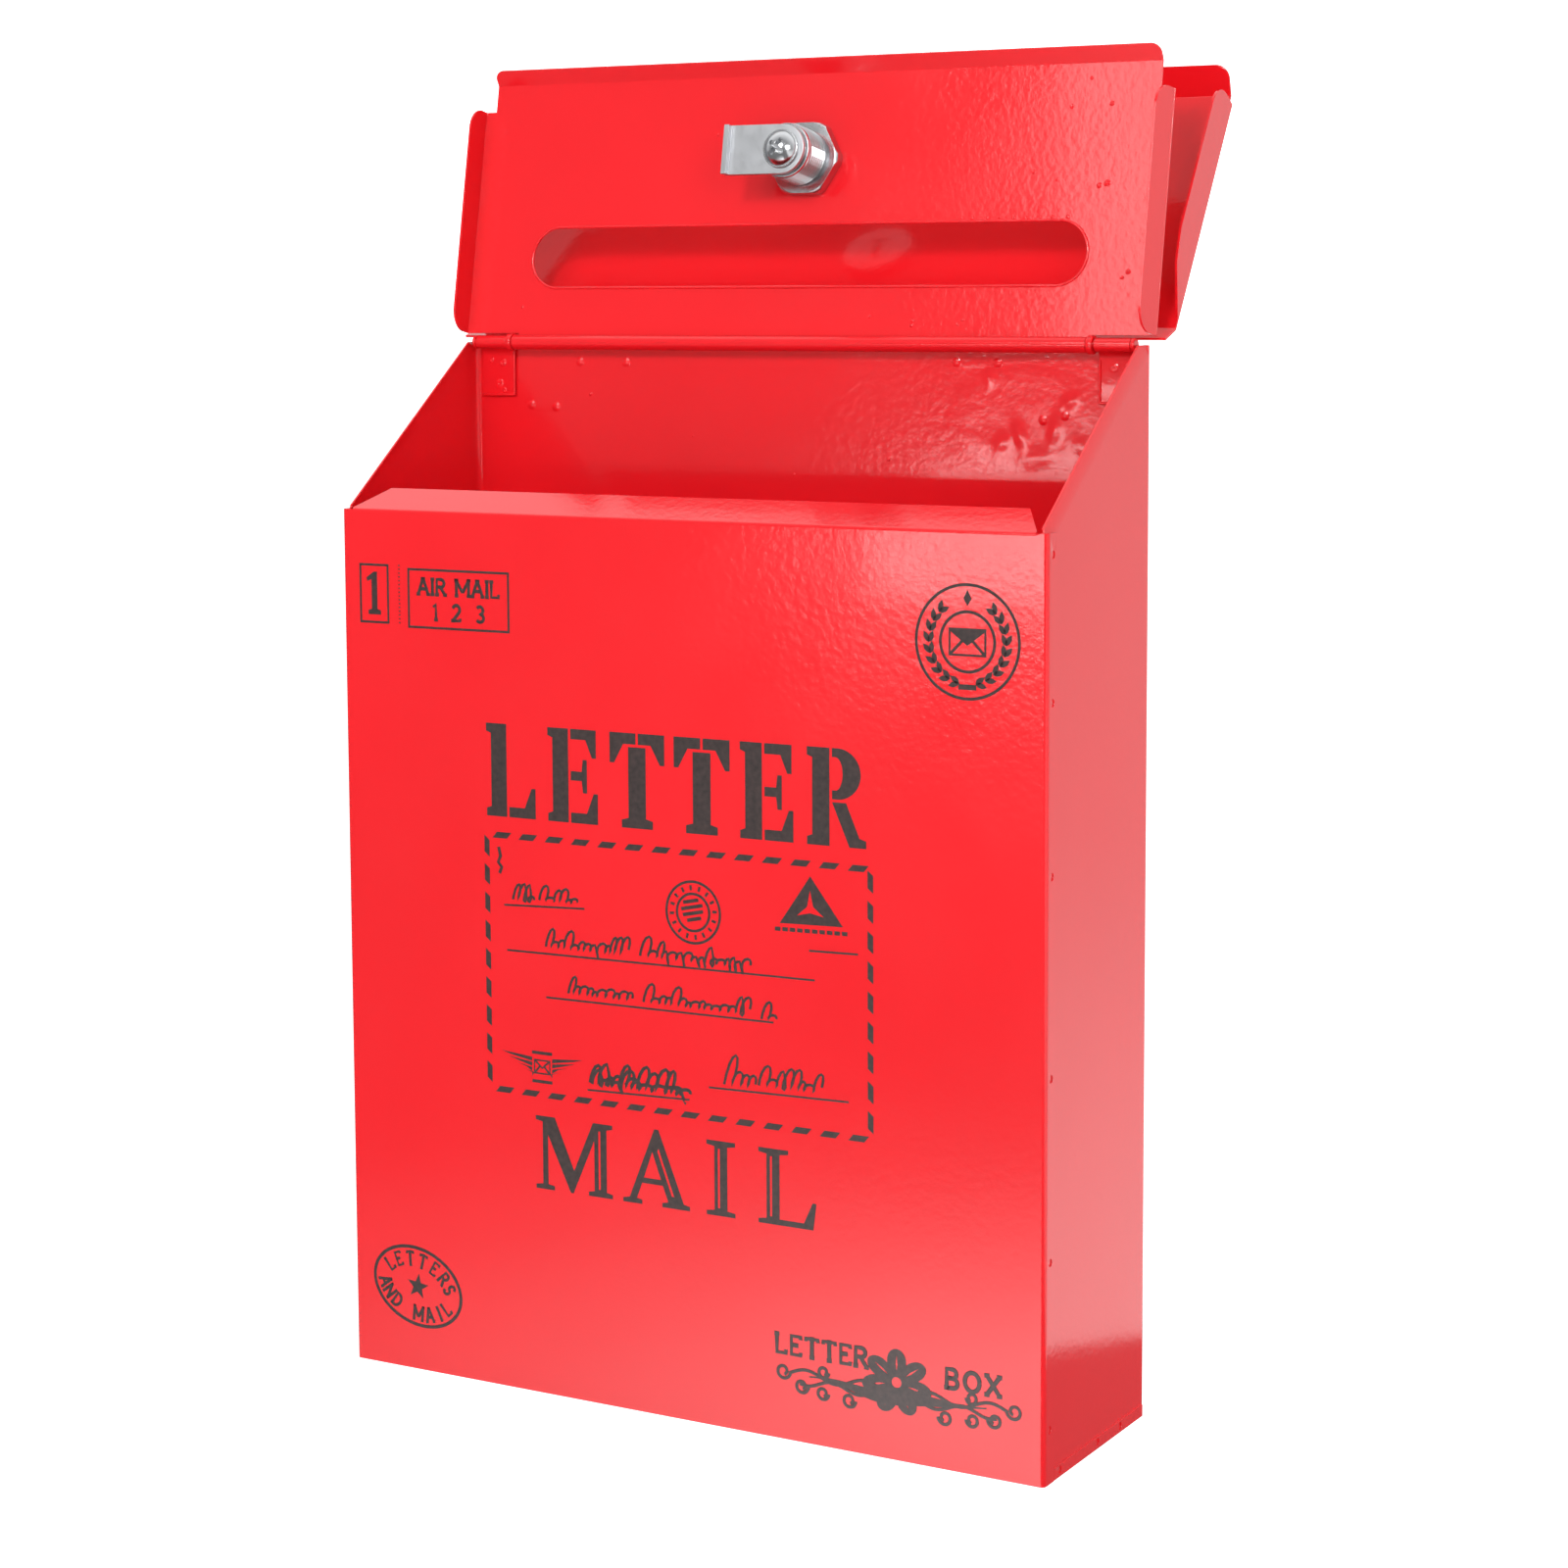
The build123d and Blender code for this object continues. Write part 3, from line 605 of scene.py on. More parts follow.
def circle_loop(cx, cz, rx, rz=None, angle=0.0, count=72):
    ring = arc(cx, cz, rx, rz or rx, 0, 360 - 360 / count, count - 1)
    return turned_loop(ring, angle, cx, cz)


# Stencil letters, 18 wide and 26.5 high, with the bridges left open.
STENCIL_H = 26.5
FOOT_ARM = [(8.0, 0), (16.8, 0), (16.8, 8.6), (15.5, 8.6), (13.2, 2.9), (8.0, 2.9)]
HEAD_ARM = [(8.0, 26.5), (16.3, 26.5), (16.3, 18.6), (15.0, 18.6), (12.9, 23.6), (8.0, 23.6)]
STEM = [(0.4, 0), (7.2, 0), (7.2, 26.5), (0.4, 26.5), (0.4, 24.3), (2.0, 23.7), (2.0, 2.8), (0.4, 2.2)]
STENCIL = {
    "L": [STEM, FOOT_ARM],
    "E": [
        STEM,
        FOOT_ARM,
        HEAD_ARM,
        [(8.0, 12.0), (11.6, 12.0), (12.0, 8.6), (13.3, 8.6), (13.3, 18.0), (12.0, 18.0),
         (11.6, 14.6), (8.0, 14.6)],
    ],
    "T": [
        [(0.2, 26.5), (8.6, 26.5), (8.6, 23.4), (4.6, 23.4), (1.6, 18.0), (0.2, 18.0)],
        [(17.8, 26.5), (9.4, 26.5), (9.4, 23.4), (13.4, 23.4), (16.4, 18.0), (17.8, 18.0)],
        [(6.2, 22.6), (11.8, 22.6), (11.8, 2.8), (14.0, 2.2), (14.0, 0), (4.0, 0), (4.0, 2.2), (6.2, 2.8)],
    ],
    "R": [
        STEM,
        [(8.0, 26.5)] + arc(9.6, 19.6, 7.0, 6.9, 90, -90) + [(8.0, 12.7), (8.0, 15.1)]
        + arc(9.0, 19.6, 2.2, 4.5, -90, 90) + [(8.0, 24.1)],
        [(8.0, 11.9), (12.2, 11.9), (16.2, 2.6), (18.2, 2.0), (18.2, 0), (13.2, 0)],
    ],
}

# Serif letters, 21.5 high, with a pale line inside each thick stroke.
SERIF = {
    "M": (25.0, [
        [(0, 0), (6.4, 0), (6.4, 1.2), (4.2, 1.6), (4.2, 16.2), (12.0, 0), (12.9, 0), (20.2, 16.4),
         (20.2, 1.6), (18.2, 1.2), (18.2, 0), (26.4, 0), (26.4, 1.2), (24.4, 1.6), (24.4, 19.9),
         (26.4, 20.3), (26.4, 21.5), (19.8, 21.5), (13.2, 6.6), (6.6, 21.5), (0, 21.5), (0, 20.3),
         (2.4, 19.9), (2.4, 1.6), (0, 1.2)],
        rect(21.6, 2.2, 22.3, 19.3),
    ]),
    "A": (23.0, [
        [(0, 0), (6.4, 0), (6.4, 1.2), (4.6, 1.6), (6.4, 6.2), (13.4, 6.2), (15.2, 1.6), (13.2, 1.2),
         (13.2, 0), (22.4, 0), (22.4, 1.2), (20.4, 1.6), (12.0, 22.2), (10.6, 22.2), (2.2, 1.6), (0, 1.2)],
        [(7.0, 7.8), (12.8, 7.8), (9.9, 15.6)],
        [(16.4, 3.4), (17.2, 3.4), (12.0, 16.8), (11.6, 15.8)],
    ]),
    "I": (12.0, [
        [(0, 0), (9.4, 0), (9.4, 1.2), (6.8, 1.6), (6.8, 19.9), (9.4, 20.3), (9.4, 21.5), (0, 21.5),
         (0, 20.3), (2.6, 19.9), (2.6, 1.6), (0, 1.2)],
        rect(3.7, 2.2, 4.4, 19.3),
    ]),
    "L": (19.0, [
        [(0, 0), (17.6, 0), (18.6, 7.6), (17.4, 7.6), (14.6, 1.6), (6.8, 1.6), (6.8, 19.9), (9.6, 20.3),
         (9.6, 21.5), (0, 21.5), (0, 20.3), (2.6, 19.9), (2.6, 1.6), (0, 1.2)],
        rect(3.7, 2.2, 4.4, 19.3),
    ]),
}


# Small letters as pen strokes, 1 high: each has its width and its strokes.
SMALL = {
    "A": (0.78, [[(0, 0), (0.37, 1)], [(0.41, 1), (0.78, 0)], [(0.15, 0.34), (0.63, 0.34)]]),
    "B": (0.62, [[(0, 0), (0, 1)] + arc(0.34, 0.76, 0.22, 0.24, 90, -90, 8) + [(0, 0.52)],
                 [(0, 0.52)] + arc(0.36, 0.26, 0.26, 0.26, 90, -90, 8) + [(0, 0)]]),
    "D": (0.70, [[(0, 0), (0, 1)] + arc(0.25, 0.5, 0.45, 0.5, 90, -90, 12) + [(0, 0)]]),
    "E": (0.55, [[(0.55, 0.84), (0.55, 1), (0, 1), (0, 0), (0.55, 0), (0.55, 0.16)],
                 [(0, 0.52), (0.42, 0.52)]]),
    "I": (0.10, [[(0.05, 0), (0.05, 1)]]),
    "L": (0.54, [[(0, 1), (0, 0), (0.54, 0), (0.54, 0.2)]]),
    "M": (0.96, [[(0, 0), (0, 1)], [(0, 1), (0.48, 0.2)], [(0.48, 0.2), (0.96, 1)], [(0.96, 1), (0.96, 0)]]),
    "N": (0.74, [[(0, 0), (0, 1)], [(0, 1), (0.74, 0)], [(0.74, 0), (0.74, 1)]]),
    "O": (0.84, [arc(0.42, 0.5, 0.42, 0.5, 0, 360, 24)]),
    "R": (0.64, [[(0, 0), (0, 1)] + arc(0.32, 0.75, 0.25, 0.25, 90, -90, 8) + [(0, 0.5)],
                 [(0.28, 0.5), (0.64, 0)]]),
    "S": (0.56, [arc(0.28, 0.74, 0.26, 0.26, 25, 270, 12) + arc(0.28, 0.25, 0.28, 0.25, 90, -155, 12)]),
    "T": (0.70, [[(0, 0.84), (0, 1), (0.7, 1), (0.7, 0.84)], [(0.35, 1), (0.35, 0)]]),
    "X": (0.72, [[(0, 0), (0.72, 1)], [(0, 1), (0.72, 0)]]),
    "1": (0.24, [[(0.0, 0.82), (0.2, 1.0), (0.2, 0)]]),
    "2": (0.56, [arc(0.27, 0.72, 0.27, 0.28, 165, -35, 12) + [(0, 0)], [(0, 0), (0.56, 0), (0.56, 0.16)]]),
    "3": (0.54, [arc(0.26, 0.75, 0.24, 0.25, 150, -90, 10) + arc(0.26, 0.25, 0.28, 0.25, 90, -150, 12)]),
    " ": (0.30, []),
}
SERIF_HALF = 0.15
LETTER_GAP = 0.30
WORD_NARROW = 0.8
WORD_TURN = 0.8
STENCIL_PITCH = 20.6
SERIF_H = 21.5
SERIF_GAP = 5.0


def with_serifs(strokes):
    """Adds a foot or a cap to every free end that meets the base or the top line."""
    ends = []
    for stroke in strokes:
        for (x, z), (_, near_z) in ((stroke[0], stroke[1]), (stroke[-1], stroke[-2])):
            if z in (0, 1) and near_z != z:
                ends.append([(x - SERIF_HALF, z), (x + SERIF_HALF, z)])
    return strokes + ends


def small_word(word, cx, z0, height, gap=LETTER_GAP):
    """Pen strokes of a level word centred on cx, standing on z0."""
    total = sum(SMALL[letter][0] for letter in word) + gap * (len(word) - 1)
    x = cx - total * height / 2
    lines = []
    for letter in word:
        width, strokes = SMALL[letter]
        for stroke in with_serifs(strokes):
            lines.append(([(x + px * height, z0 + pz * height) for px, pz in stroke], False))
        x += (width + gap) * height
    return lines


def arc_word(word, cx, cz, rx, rz, height, step, foot_out, tilt):
    """Pen strokes of a word bent along an ellipse, over its top or under its foot."""
    lines = []
    sign = 1 if foot_out else -1
    for i, letter in enumerate(word):
        width, strokes = SMALL[letter]
        a = (270 if foot_out else 90) + sign * (i - (len(word) - 1) / 2) * step
        mid = (cx + rx * math.cos(deg(a)), cz + rz * math.sin(deg(a)))
        for stroke in with_serifs(strokes):
            flat = [
                (mid[0] + (px - width / 2) * height * WORD_NARROW, mid[1] + (pz - 0.5) * height)
                for px, pz in stroke
            ]
            bent = turned_loop(flat, (a - (270 if foot_out else 90)) * WORD_TURN, *mid)
            lines.append((turned_loop(bent, tilt, cx, cz), False))
    return lines


def stencil_word(word, x0, x1, z0, height):
    """The big word, its letters spread evenly between x0 and x1."""
    pitch = (x1 - x0) / len(word)
    sx = pitch / STENCIL_PITCH
    loops = []
    for i, letter in enumerate(word):
        for loop in STENCIL[letter]:
            loops.append(moved(loop, x0 + i * pitch, z0, sx, height / STENCIL_H))
    printed_shapes("print_word_stencil", loops)


def serif_word(word, x0, x1, z0, height):
    """The lower word, its letters set between x0 and x1."""
    total = sum(SERIF[letter][0] for letter in word) + SERIF_GAP * (len(word) - 1)
    sx = (x1 - x0) / total
    loops, x = [], x0
    for letter in word:
        width, shapes = SERIF[letter]
        loops += [moved(loop, x, z0, sx, height / SERIF_H) for loop in shapes]
        x += (width + SERIF_GAP) * sx
    printed_shapes("print_word_serif", loops)


def dash_row(start, end, count, length, thick, slant):
    """Slanted dashes along one side of the border."""
    (x0, z0), (x1, z1) = start, end
    run = math.hypot(x1 - x0, z1 - z0)
    ux, uz = (x1 - x0) / run, (z1 - z0) / run
    loops = []
    for i in range(count):
        mid = run * (i + 0.5) / count
        a, b = mid - length / 2, mid + length / 2
        corners = [(a, -thick / 2), (b, -thick / 2), (b + slant, thick / 2), (a + slant, thick / 2)]
        loops.append([(x0 + p * ux - q * uz, z0 + p * uz + q * ux) for p, q in corners])
    return loops


def dashed_border():
    x0, x1, z0, z1 = -63.2, 60.8, 87.6, 161.4
    loops = dash_row((x0, z1), (x1, z1), 14, 4.9, 1.75, 1.5)
    loops += dash_row((x0, z0), (x1, z0), 14, 4.9, 1.75, 1.5)
    loops += dash_row((x0, z0), (x0, z1), 9, 4.8, 1.7, 1.4)
    loops += dash_row((x1, z0), (x1, z1), 9, 4.8, 1.7, 1.4)
    printed_shapes("print_border_dashes", loops)


def scribble(rng, x0, x1, z, height, pitch=2.1):
    """Handwriting-like loops that spell nothing, with a tall first stroke."""
    points = []
    x = x0
    while x < x1:
        tall = x == x0 or rng.random() < 0.2
        rise = height * (rng.uniform(1.7, 2.3) if tall else rng.uniform(0.5, 1.0))
        step = pitch * rng.uniform(0.7, 1.35)
        lean = rise * 0.3
        drop = height * rng.uniform(0.9, 1.3) if rng.random() < 0.12 else 0.0
        for i in range(8):
            t = i / 8
            up = math.sin(math.pi * t) ** 1.2
            points.append((
                x + step * t + lean * up - 0.25 * step * math.sin(2 * math.pi * t),
                z + rise * up - drop * max(0.0, math.sin(2 * math.pi * t - math.pi)),
            ))
        x += step
    return points


def letter_lines():
    """Ruled lines with handwriting on them."""
    rng = random.Random(7)
    rules = [
        ((-57.5, 141.4), (-30.3, 142.6)), ((-56.7, 128.4), (43.7, 129.6)), ((-43.5, 116.0), (30.8, 116.6)),
        ((-29.9, 90.8), (3.8, 91.9)), ((10.1, 96.2), (54.1, 97.2)), ((42.0, 137.6), (57.0, 138.0)),
    ]
    printed_lines("print_letter_rules", [(list(rule), False) for rule in rules], 0.55)
    words = [
        (-54.5, -48.5, 143.2, 2.4), (-45.5, -33.0, 143.8, 1.9),
        (-43.5, -17.0, 130.6, 2.7), (-12.0, 22.0, 131.0, 2.6),
        (-36.0, -16.5, 117.9, 2.6), (-11.0, 22.0, 118.0, 2.4), (27.0, 30.5, 117.2, 2.6),
        (15.0, 23.0, 97.6, 4.6), (26.0, 44.0, 98.6, 2.7),
    ]
    strokes = [(scribble(rng, *word), False) for word in words]
    printed_lines("print_letter_writing", strokes, 0.8)
    heavy = [
        (scribble(rng, -29.0, 1.0, 93.0, 2.9, 2.8), False),
        (scribble(rng, -28.4, 1.6, 92.7, 2.4, 3.3), False),
    ]
    heavy.append(([(-59.2, 158.0), (-58.6, 155.4), (-59.4, 153.6), (-58.2, 152.2), (-59.0, 150.4)], False))
    printed_lines("print_letter_heavy", heavy, 1.05)


def envelope(cx, cz, w, h):
    """Strokes of a plain envelope."""
    x0, x1, z0, z1 = cx - w / 2, cx + w / 2, cz - h / 2, cz + h / 2
    return [
        (rect(x0, z0, x1, z1), True),
        ([(x0, z1), (cx, cz - h * 0.08), (x1, z1)], False),
        ([(x0, z0), (cx - w * 0.14, cz + h * 0.06)], False),
        ([(x1, z0), (cx + w * 0.14, cz + h * 0.06)], False),
    ]


def corner_labels():
    """The framed number and the framed label at the top left."""
    printed_lines("print_number_frame", [
        (rect(-106.3, 220.4, -96.6, 237.0), True),
        (rect(-89.3, 219.6, -54.8, 236.2), True),
    ], 0.95)
    one = [(-103.6, 222.6), (-99.2, 222.6), (-99.2, 223.8), (-100.4, 224.2), (-100.4, 235.0), (-101.6, 235.0),
           (-104.2, 233.2), (-103.8, 232.2), (-102.4, 232.8), (-102.4, 224.2), (-103.6, 223.8)]
    dots = [circle_loop(-92.6, 220.6 + 1.1 * i, 0.26, count=10) for i in range(16)]
    printed_shapes("print_number", [one] + dots)
    printed_lines("print_label_words", small_word("AIR MAIL", -72.0, 229.2, 4.4)
                  + small_word("1 2 3", -72.0, 222.0, 4.4, 0.5), 1.0)


LEAF = [(0.0, 0.0), (0.9, 0.75), (2.1, 0.8), (3.4, 0.0), (2.1, -0.7), (0.9, -0.6)]


def laurel(cx, cz, radius):
    """Two branches of leaves, open at the top."""
    loops = []
    for side in (-1, 1):
        for i in range(9):
            a = -78 + i * 15
            root = (cx + side * radius * math.cos(deg(a)), cz + radius * math.sin(deg(a)))
            for spread in (24, -24):
                leaf = turned_loop(LEAF, a + 90 + spread, 0, 0)
                loops.append([(root[0] + side * x, root[1] + z) for x, z in leaf])
    return loops


def round_stamp():
    """Two rings, an envelope in the middle and a laurel round it."""
    cx, cz = 89.6, 223.9
    rings = [(circle_loop(cx, cz, 15.0), True), (circle_loop(cx, cz, 7.9, count=48), True)]
    printed_lines("print_stamp_round", rings + envelope(cx, cz - 0.1, 10.4, 6.8), 0.8)
    for i, leaf in enumerate(laurel(cx, cz, 11.3)):
        printed_shapes(f"print_stamp_leaf_{i}", [leaf])
    flap = [(cx - 4.8, cz + 3.1), (cx + 4.8, cz + 3.1), (cx, cz - 0.6)]
    knot = rect(cx - 2.6, cz - 12.6, cx + 2.6, cz - 11.2)
    crown = [(cx, cz + 13.6), (cx + 1.2, cz + 11.4), (cx, cz + 9.4), (cx - 1.2, cz + 11.4)]
    printed_shapes("print_stamp_round_fill", [flap, knot, crown])


def postmark():
    cx, cz = 5.4, 144.8
    lines = [(circle_loop(cx, cz, 8.6), True), (circle_loop(cx, cz, 5.2, count=40), True)]
    for i in range(16):
        a = deg(i * 22.5 + 6)
        tick = [(cx + reach * math.cos(a), cz + reach * math.sin(a)) for reach in (6.2, 7.6)]
        lines.append((tick, False))
    printed_lines("print_postmark_rings", lines, 0.75)
    bars = [turned_loop(rect(cx - 3.6 + s, cz - 2.4 + 1.7 * i, cx + 3.4 - s, cz - 1.4 + 1.7 * i), 12, cx, cz)
            for i, s in enumerate((1.2, 0.2, 0.0, 1.0))]
    printed_shapes("print_postmark_bars", bars)


def triangle_mark():
    outer = [(42.4, 158.0), (32.9, 144.4), (52.4, 145.0)]
    inner = [(42.3, 154.2), (41.4, 149.6), (38.2, 146.9), (42.3, 147.9), (46.6, 147.1), (43.3, 149.7)]
    dashes = [rect(31.4 + 2.3 * i, 142.2 + 0.05 * i, 33.1 + 2.3 * i, 143.3 + 0.05 * i) for i in range(10)]
    printed_shapes("print_triangle", [outer, inner] + dashes)


def small_emblem():
    """An envelope between two feathered wings."""
    cx, cz = -45.2, 95.6
    printed_lines("print_emblem", envelope(cx, cz, 5.2, 3.8), 0.62)
    feathers = []
    for i in range(4):
        reach = 13.8 - 2.7 * i
        z = cz + 2.6 - 1.5 * i
        for side in (-1, 1):
            root, tip = cx + side * 3.4, cx + side * reach
            feathers.append([(root, z - 1.1), (root, z + 0.05), (tip, z + 0.9), (tip - side * 3.0, z + 0.1)])
    bars = [rect(cx - 3.4, cz + 3.6, cx + 3.4, cz + 4.5), rect(cx - 3.4, cz - 4.7, cx + 3.4, cz - 3.8)]
    printed_shapes("print_emblem_fill", feathers + bars)


def oval_stamp():
    """A leaning oval with a word over and under a star."""
    cx, cz, tilt = -90.0, 24.9, -14.0
    printed_lines("print_stamp_oval", [(circle_loop(cx, cz, 15.6, 11.4, tilt), True)], 1.0)
    words = arc_word("LETTERS", cx, cz, 11.9, 7.9, 3.9, 22.0, False, tilt)
    words += arc_word("AND MAIL", cx, cz, 11.9, 7.9, 3.9, 20.0, True, tilt)
    printed_lines("print_stamp_oval_words", words, 0.9)
    star = []
    for i in range(10):
        r = 3.9 if i % 2 == 0 else 1.6
        a = deg(90 + 36 * i)
        star.append((cx + r * math.cos(a), cz + r * math.sin(a)))
    printed_shapes("print_star", [turned_loop(star, tilt / 2, cx, cz)])


def spiral(cx, cz, r0, r1, start, sweep, count=30):
    points = []
    for i in range(count + 1):
        t = i / count
        r = r0 + (r1 - r0) * t
        a = deg(start + sweep * t)
        points.append((cx + r * math.cos(a), cz + r * math.sin(a)))
    return points


def wave(x0, x1, z, height, cycles, phase, count=40):
    return [
        (x0 + (x1 - x0) * i / count, z + height * math.sin(2 * math.pi * cycles * i / count + phase))
        for i in range(count + 1)
    ]


def scroll_ornament():
    """Tendrils with curled ends, a band and a rosette, between two words."""
    cx, cz = 68.6, 20.5
    curls = ((35.2, -1.2, 2.3), (29.4, -4.6, 2.1), (22.6, 0.4, 1.7), (22.8, -5.6, 1.9), (14.6, -6.2, 2.1))
    lines = []
    for side in (-1, 1):
        lines.append((wave(cx + side * 6.0, cx + side * 33.5, cz - 1.2, 1.3, 1.5, 0.3), False))
        lines.append((wave(cx + side * 6.0, cx + side * 30.0, cz - 3.2, 1.1, 1.5, 2.4), False))
        for at, rise, size in curls:
            start = 180 if side > 0 else 0
            lines.append((spiral(cx + side * at, cz + rise, size, 0.9, start, side * 430), False))
    printed_lines("print_scroll_lines", lines, 0.95)
    rosette = []
    for i in range(180):
        a = math.tau * i / 180
        reach = 6.4 + 4.4 * abs(math.cos(3.5 * (a - math.pi / 2))) ** 0.8
        rosette.append((cx + reach * math.cos(a), cz + 1.2 + 0.86 * reach * math.sin(a)))
    vein = [(3.4, 0.0), (5.6, 0.3), (8.6, 0.0), (5.6, -0.3)]
    veins = []
    for i in range(7):
        a = 90 + 360 / 7 * i
        veins.append(moved(turned_loop(vein, a, 0, 0), cx, cz + 1.2, 1, 0.9))
    band = wave(cx - 27.0, cx + 27.0, cz - 1.4, 0.4, 2.0, 0.0)
    under = [(x, z - 0.4 - 3.4 * math.cos(math.pi * (x - cx) / 54.0) ** 2) for x, z in reversed(band)]
    printed_shapes("print_scroll_band", [band + under])
    printed_shapes("print_scroll_rosette", [rosette, circle_loop(cx, cz + 1.2, 1.5, count=20)] + veins, 1)
    words = small_word("LETTER", 45.4, 24.4, 5.2, 0.34) + small_word("BOX", 91.6, 22.8, 5.2, 0.42)
    printed_lines("print_scroll_words", words, 1.3)


stencil_word("LETTER", -63.4, 62.0, 166.8, 26.6)
serif_word("MAIL", -47.6, 44.4, 60.2, 21.2)
dashed_border()
letter_lines()
corner_labels()
round_stamp()
postmark()
triangle_mark()
small_emblem()
oval_stamp()
scroll_ornament()


# ---- stage --------------------------------------------------------------------

FLOOR_HALF = 6.0
BACKDROP_RADIUS = 8.0
BOUNCE = 0.75
WHITE_GLOW = 1.5
WORLD_FRONT = 0.28
WORLD_BACK = 0.92
WORLD_TOP = 1.5
GLOW_CENTRE = (0.12, -0.10)
GLOW_RADIUS = 0.45
SHADOW_EDGE = 0.170
SHADOW_TURN = 37.7


def show_to_camera_only(obj):
    obj.visible_diffuse = False
    obj.visible_glossy = False
    obj.visible_transmission = False
    obj.visible_shadow = False


def stage_plane(name, x0, y0, x1, y1, mat, seen_by):
    """A level sheet of the stage, shown to one kind of ray: camera, diffuse or glossy."""
    mesh = bpy.data.meshes.new(name)
    mesh.from_pydata([(x0, y0, 0), (x1, y0, 0), (x1, y1, 0), (x0, y1, 0)], [], [(0, 1, 2, 3)])
    mesh.materials.append(mat)
    obj = bpy.data.objects.new(name, mesh)
    bpy.context.scene.collection.objects.link(obj)
    obj.visible_camera = seen_by == "camera"
    obj.visible_diffuse = seen_by == "diffuse"
    obj.visible_glossy = seen_by == "glossy"
    obj.visible_transmission = False
    obj.visible_shadow = False


def flat_paper(name, albedo, glow):
    """Plain paper; glow is the light that it gives off."""
    mat, tree, shader = new_material(name)
    shader.inputs["Base Color"].default_value = (*grey(albedo), 1)
    shader.inputs["Roughness"].default_value = 0.7
    shader.inputs["Specular IOR Level"].default_value = 0.0
    shader.inputs["Emission Color"].default_value = (1, 1, 1, 1)
    shader.inputs["Emission Strength"].default_value = glow
    return mat


def lit_card(name, place, stops, gradient):
    """Painted light: glow that follows a gradient across the card; a stop's value is tenths of its
    brightness.
    """
    mat, tree, shader = new_material(name)
    where = tree.nodes.new("ShaderNodeTexCoord")
    mapping = tree.nodes.new("ShaderNodeMapping")
    for socket, value in place.items():
        mapping.inputs[socket].default_value = value
    fade = tree.nodes.new("ShaderNodeTexGradient")
    fade.gradient_type = gradient
    tree.links.new(where.outputs["Object"], mapping.inputs["Vector"])
    tree.links.new(mapping.outputs[0], fade.inputs["Vector"])
    glow = ramp(tree, fade.outputs["Fac"], [(at, grey(level / 10)) for at, level in stops])
    shader.inputs["Base Color"].default_value = (0, 0, 0, 1)
    shader.inputs["Specular IOR Level"].default_value = 0.0
    shader.inputs["Emission Strength"].default_value = 10.0
    tree.links.new(glow, shader.inputs["Emission Color"])
    return mat


def make_stage():
    """A floor for the camera, another that lights the object, and glossy-only cards with painted light for
    its gloss: a painted pool of light in front of the box and, to its right and behind it, the box's cast
    shadow painted as a dark band.
    """
    half = FLOOR_HALF
    stage_plane("floor", -half, -half, half, half, flat_paper("floor_white", 0.0, WHITE_GLOW), "camera")
    stage_plane("bounce", -half, -half, half, half, flat_paper("bounce_paper", BOUNCE, 0.0), "diffuse")
    # Painted pool of light: a glossy-only card whose glow is brightest near GLOW_CENTRE and fades out to
    # GLOW_RADIUS.
    near = {"Scale": (1 / GLOW_RADIUS, 1 / GLOW_RADIUS, 1),
            "Location": (-GLOW_CENTRE[0] / GLOW_RADIUS, -GLOW_CENTRE[1] / GLOW_RADIUS, 0)}
    painted_pool_stops = [(0, 0.25), (0.13, 0.3), (0.4, 0.75), (0.6, 1.6), (0.87, 3.3)]
    painted_pool_glow = lit_card("card_painted_light_pool", near, painted_pool_stops, "SPHERICAL")
    # Painted cast shadow: the box's shadow on the floor, as seen in its reflections, painted as dark glow up
    # to SHADOW_EDGE and bright glow past it.
    far = {"Rotation": (0, 0, deg(-SHADOW_TURN))}
    edge = SHADOW_EDGE
    painted_shadow_stops = [(edge - 0.004, 0.25), (edge + 0.004, 1.5), (0.6, 1.15), (1, 0.95)]
    painted_shadow_glow = lit_card("card_painted_shadow", far, painted_shadow_stops, "LINEAR")
    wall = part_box("back_and_sides")[1].x
    stage_plane("card_front", -half, -half, wall, 0, painted_pool_glow, "glossy")
    stage_plane("card_side", wall, -half, half, 0, painted_shadow_glow, "glossy")
    stage_plane("card_back", -half, 0, half, half, painted_shadow_glow, "glossy")


def backdrop():
    """A plain white surround that only the camera sees."""
    mat, tree, shader = new_material("backdrop_white")
    shader.inputs["Base Color"].default_value = (1, 1, 1, 1)
    shader.inputs["Emission Color"].default_value = (1, 1, 1, 1)
    shader.inputs["Emission Strength"].default_value = WHITE_GLOW
    mesh = bpy.data.meshes.new("backdrop")
    shape = bmesh.new()
    bmesh.ops.create_uvsphere(shape, u_segments=48, v_segments=24, radius=BACKDROP_RADIUS)
    shape.to_mesh(mesh)
    shape.free()
    mesh.materials.append(mat)
    dome = bpy.data.objects.new("backdrop", mesh)
    bpy.context.scene.collection.objects.link(dome)
    show_to_camera_only(dome)


def area(name, at, look, width, power, height):
    """A rectangular lamp at a place, facing another."""
    light = bpy.data.lights.new(name, "AREA")
    light.shape = "RECTANGLE"
    light.size = width
    light.size_y = height
    light.energy = power
    obj = bpy.data.objects.new(name, light)
    bpy.context.scene.collection.objects.link(obj)
    obj.location = at
    obj.rotation_euler = (Vector(look) - Vector(at)).to_track_quat("-Z", "Y").to_euler()
    return obj


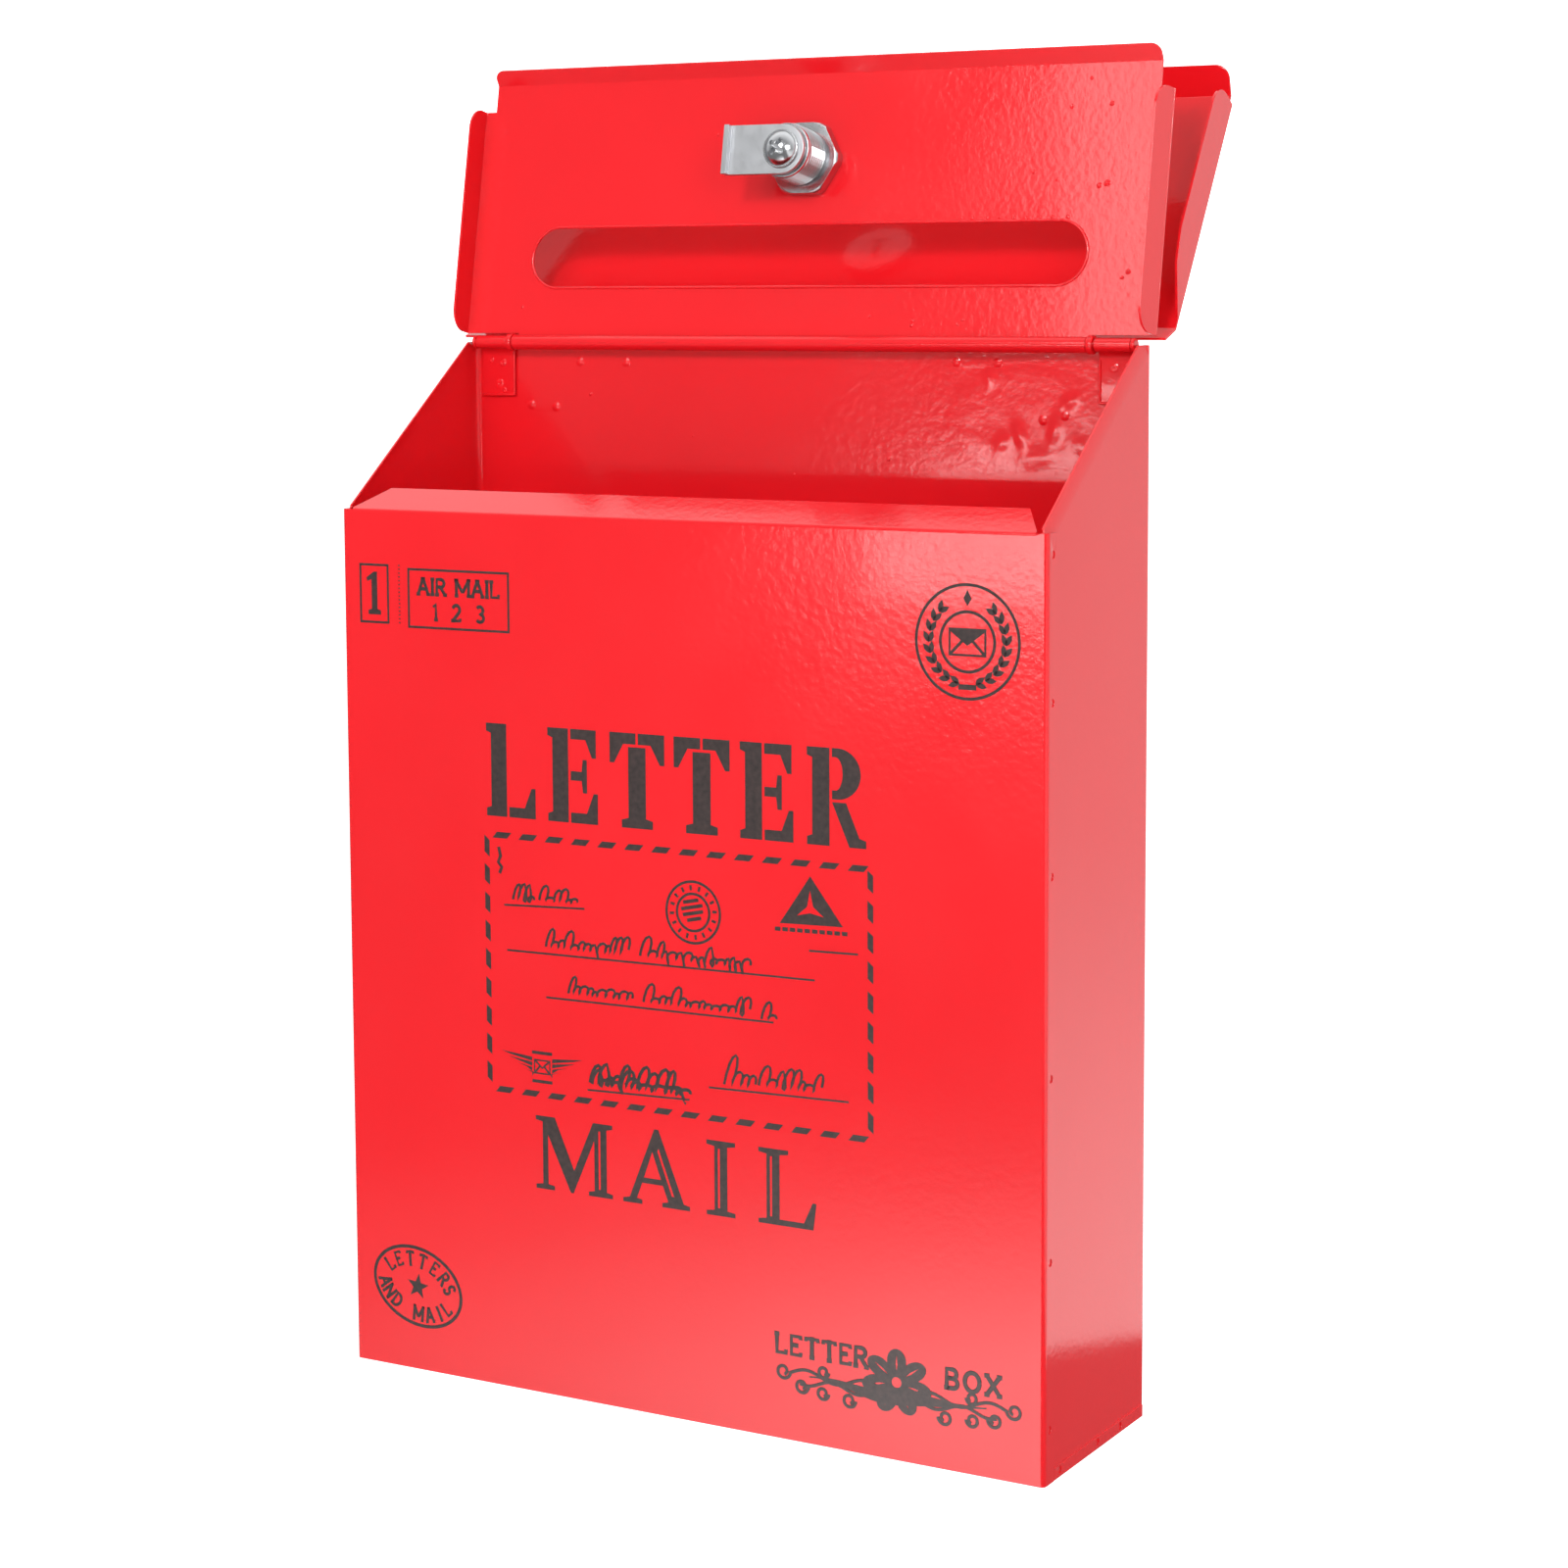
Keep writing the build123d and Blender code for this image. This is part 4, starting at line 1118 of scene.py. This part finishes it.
def make_world():
    """Bright behind and above, darker in front, like a lit backdrop in a dim room."""
    world = bpy.data.worlds.new("studio")
    bpy.context.scene.world = world
    world.use_nodes = True
    tree = world.node_tree
    tree.nodes.clear()
    out = tree.nodes.new("ShaderNodeOutputWorld")
    light = tree.nodes.new("ShaderNodeBackground")
    light.inputs["Color"].default_value = (1, 1, 1, 1)
    where = tree.nodes.new("ShaderNodeTexCoord")
    axes = tree.nodes.new("ShaderNodeSeparateXYZ")
    depth = tree.nodes.new("ShaderNodeMapRange")
    depth.inputs["From Min"].default_value = -0.55
    depth.inputs["From Max"].default_value = 0.15
    depth.inputs["To Min"].default_value = WORLD_FRONT
    depth.inputs["To Max"].default_value = WORLD_BACK
    tree.links.new(where.outputs["Generated"], axes.inputs[0])
    tree.links.new(axes.outputs["Y"], depth.inputs["Value"])
    height = tree.nodes.new("ShaderNodeMapRange")
    height.inputs["From Max"].default_value = 0.8
    height.inputs["To Min"].default_value = 1.0
    height.inputs["To Max"].default_value = WORLD_TOP
    both = tree.nodes.new("ShaderNodeMath")
    both.operation = "MULTIPLY"
    tree.links.new(axes.outputs["Z"], height.inputs["Value"])
    tree.links.new(depth.outputs[0], both.inputs[0])
    tree.links.new(height.outputs[0], both.inputs[1])
    tree.links.new(both.outputs[0], light.inputs["Strength"])
    tree.links.new(light.outputs[0], out.inputs[0])


# Name, place, what it faces, width, watts and height.
LIGHTS = (
    ("key", (-0.20, -2.0, 1.3), (0, 0, 0.3), 1.46, 16.0, 0.9),
    ("lamp", (0.25, -2.0, 1.3), (0, 0, 0.3), 0.3, 12.0, 0.3),
    ("low_front", (-0.45, -2.1, 0.08), (-0.45, 0, 0.08), 1.2, 3.6, 0.13),
    ("fill_right", (1.7, -1.5, 0.9), (0, 0, 0.2), 0.9, 13.0, 0.9),
)
EXPOSURE = -0.15

view = bpy.context.scene.view_settings
view.view_transform = "Standard"
view.look = "None"
view.exposure = EXPOSURE
make_stage()
backdrop()
make_world()
for light in LIGHTS:
    area(*light)
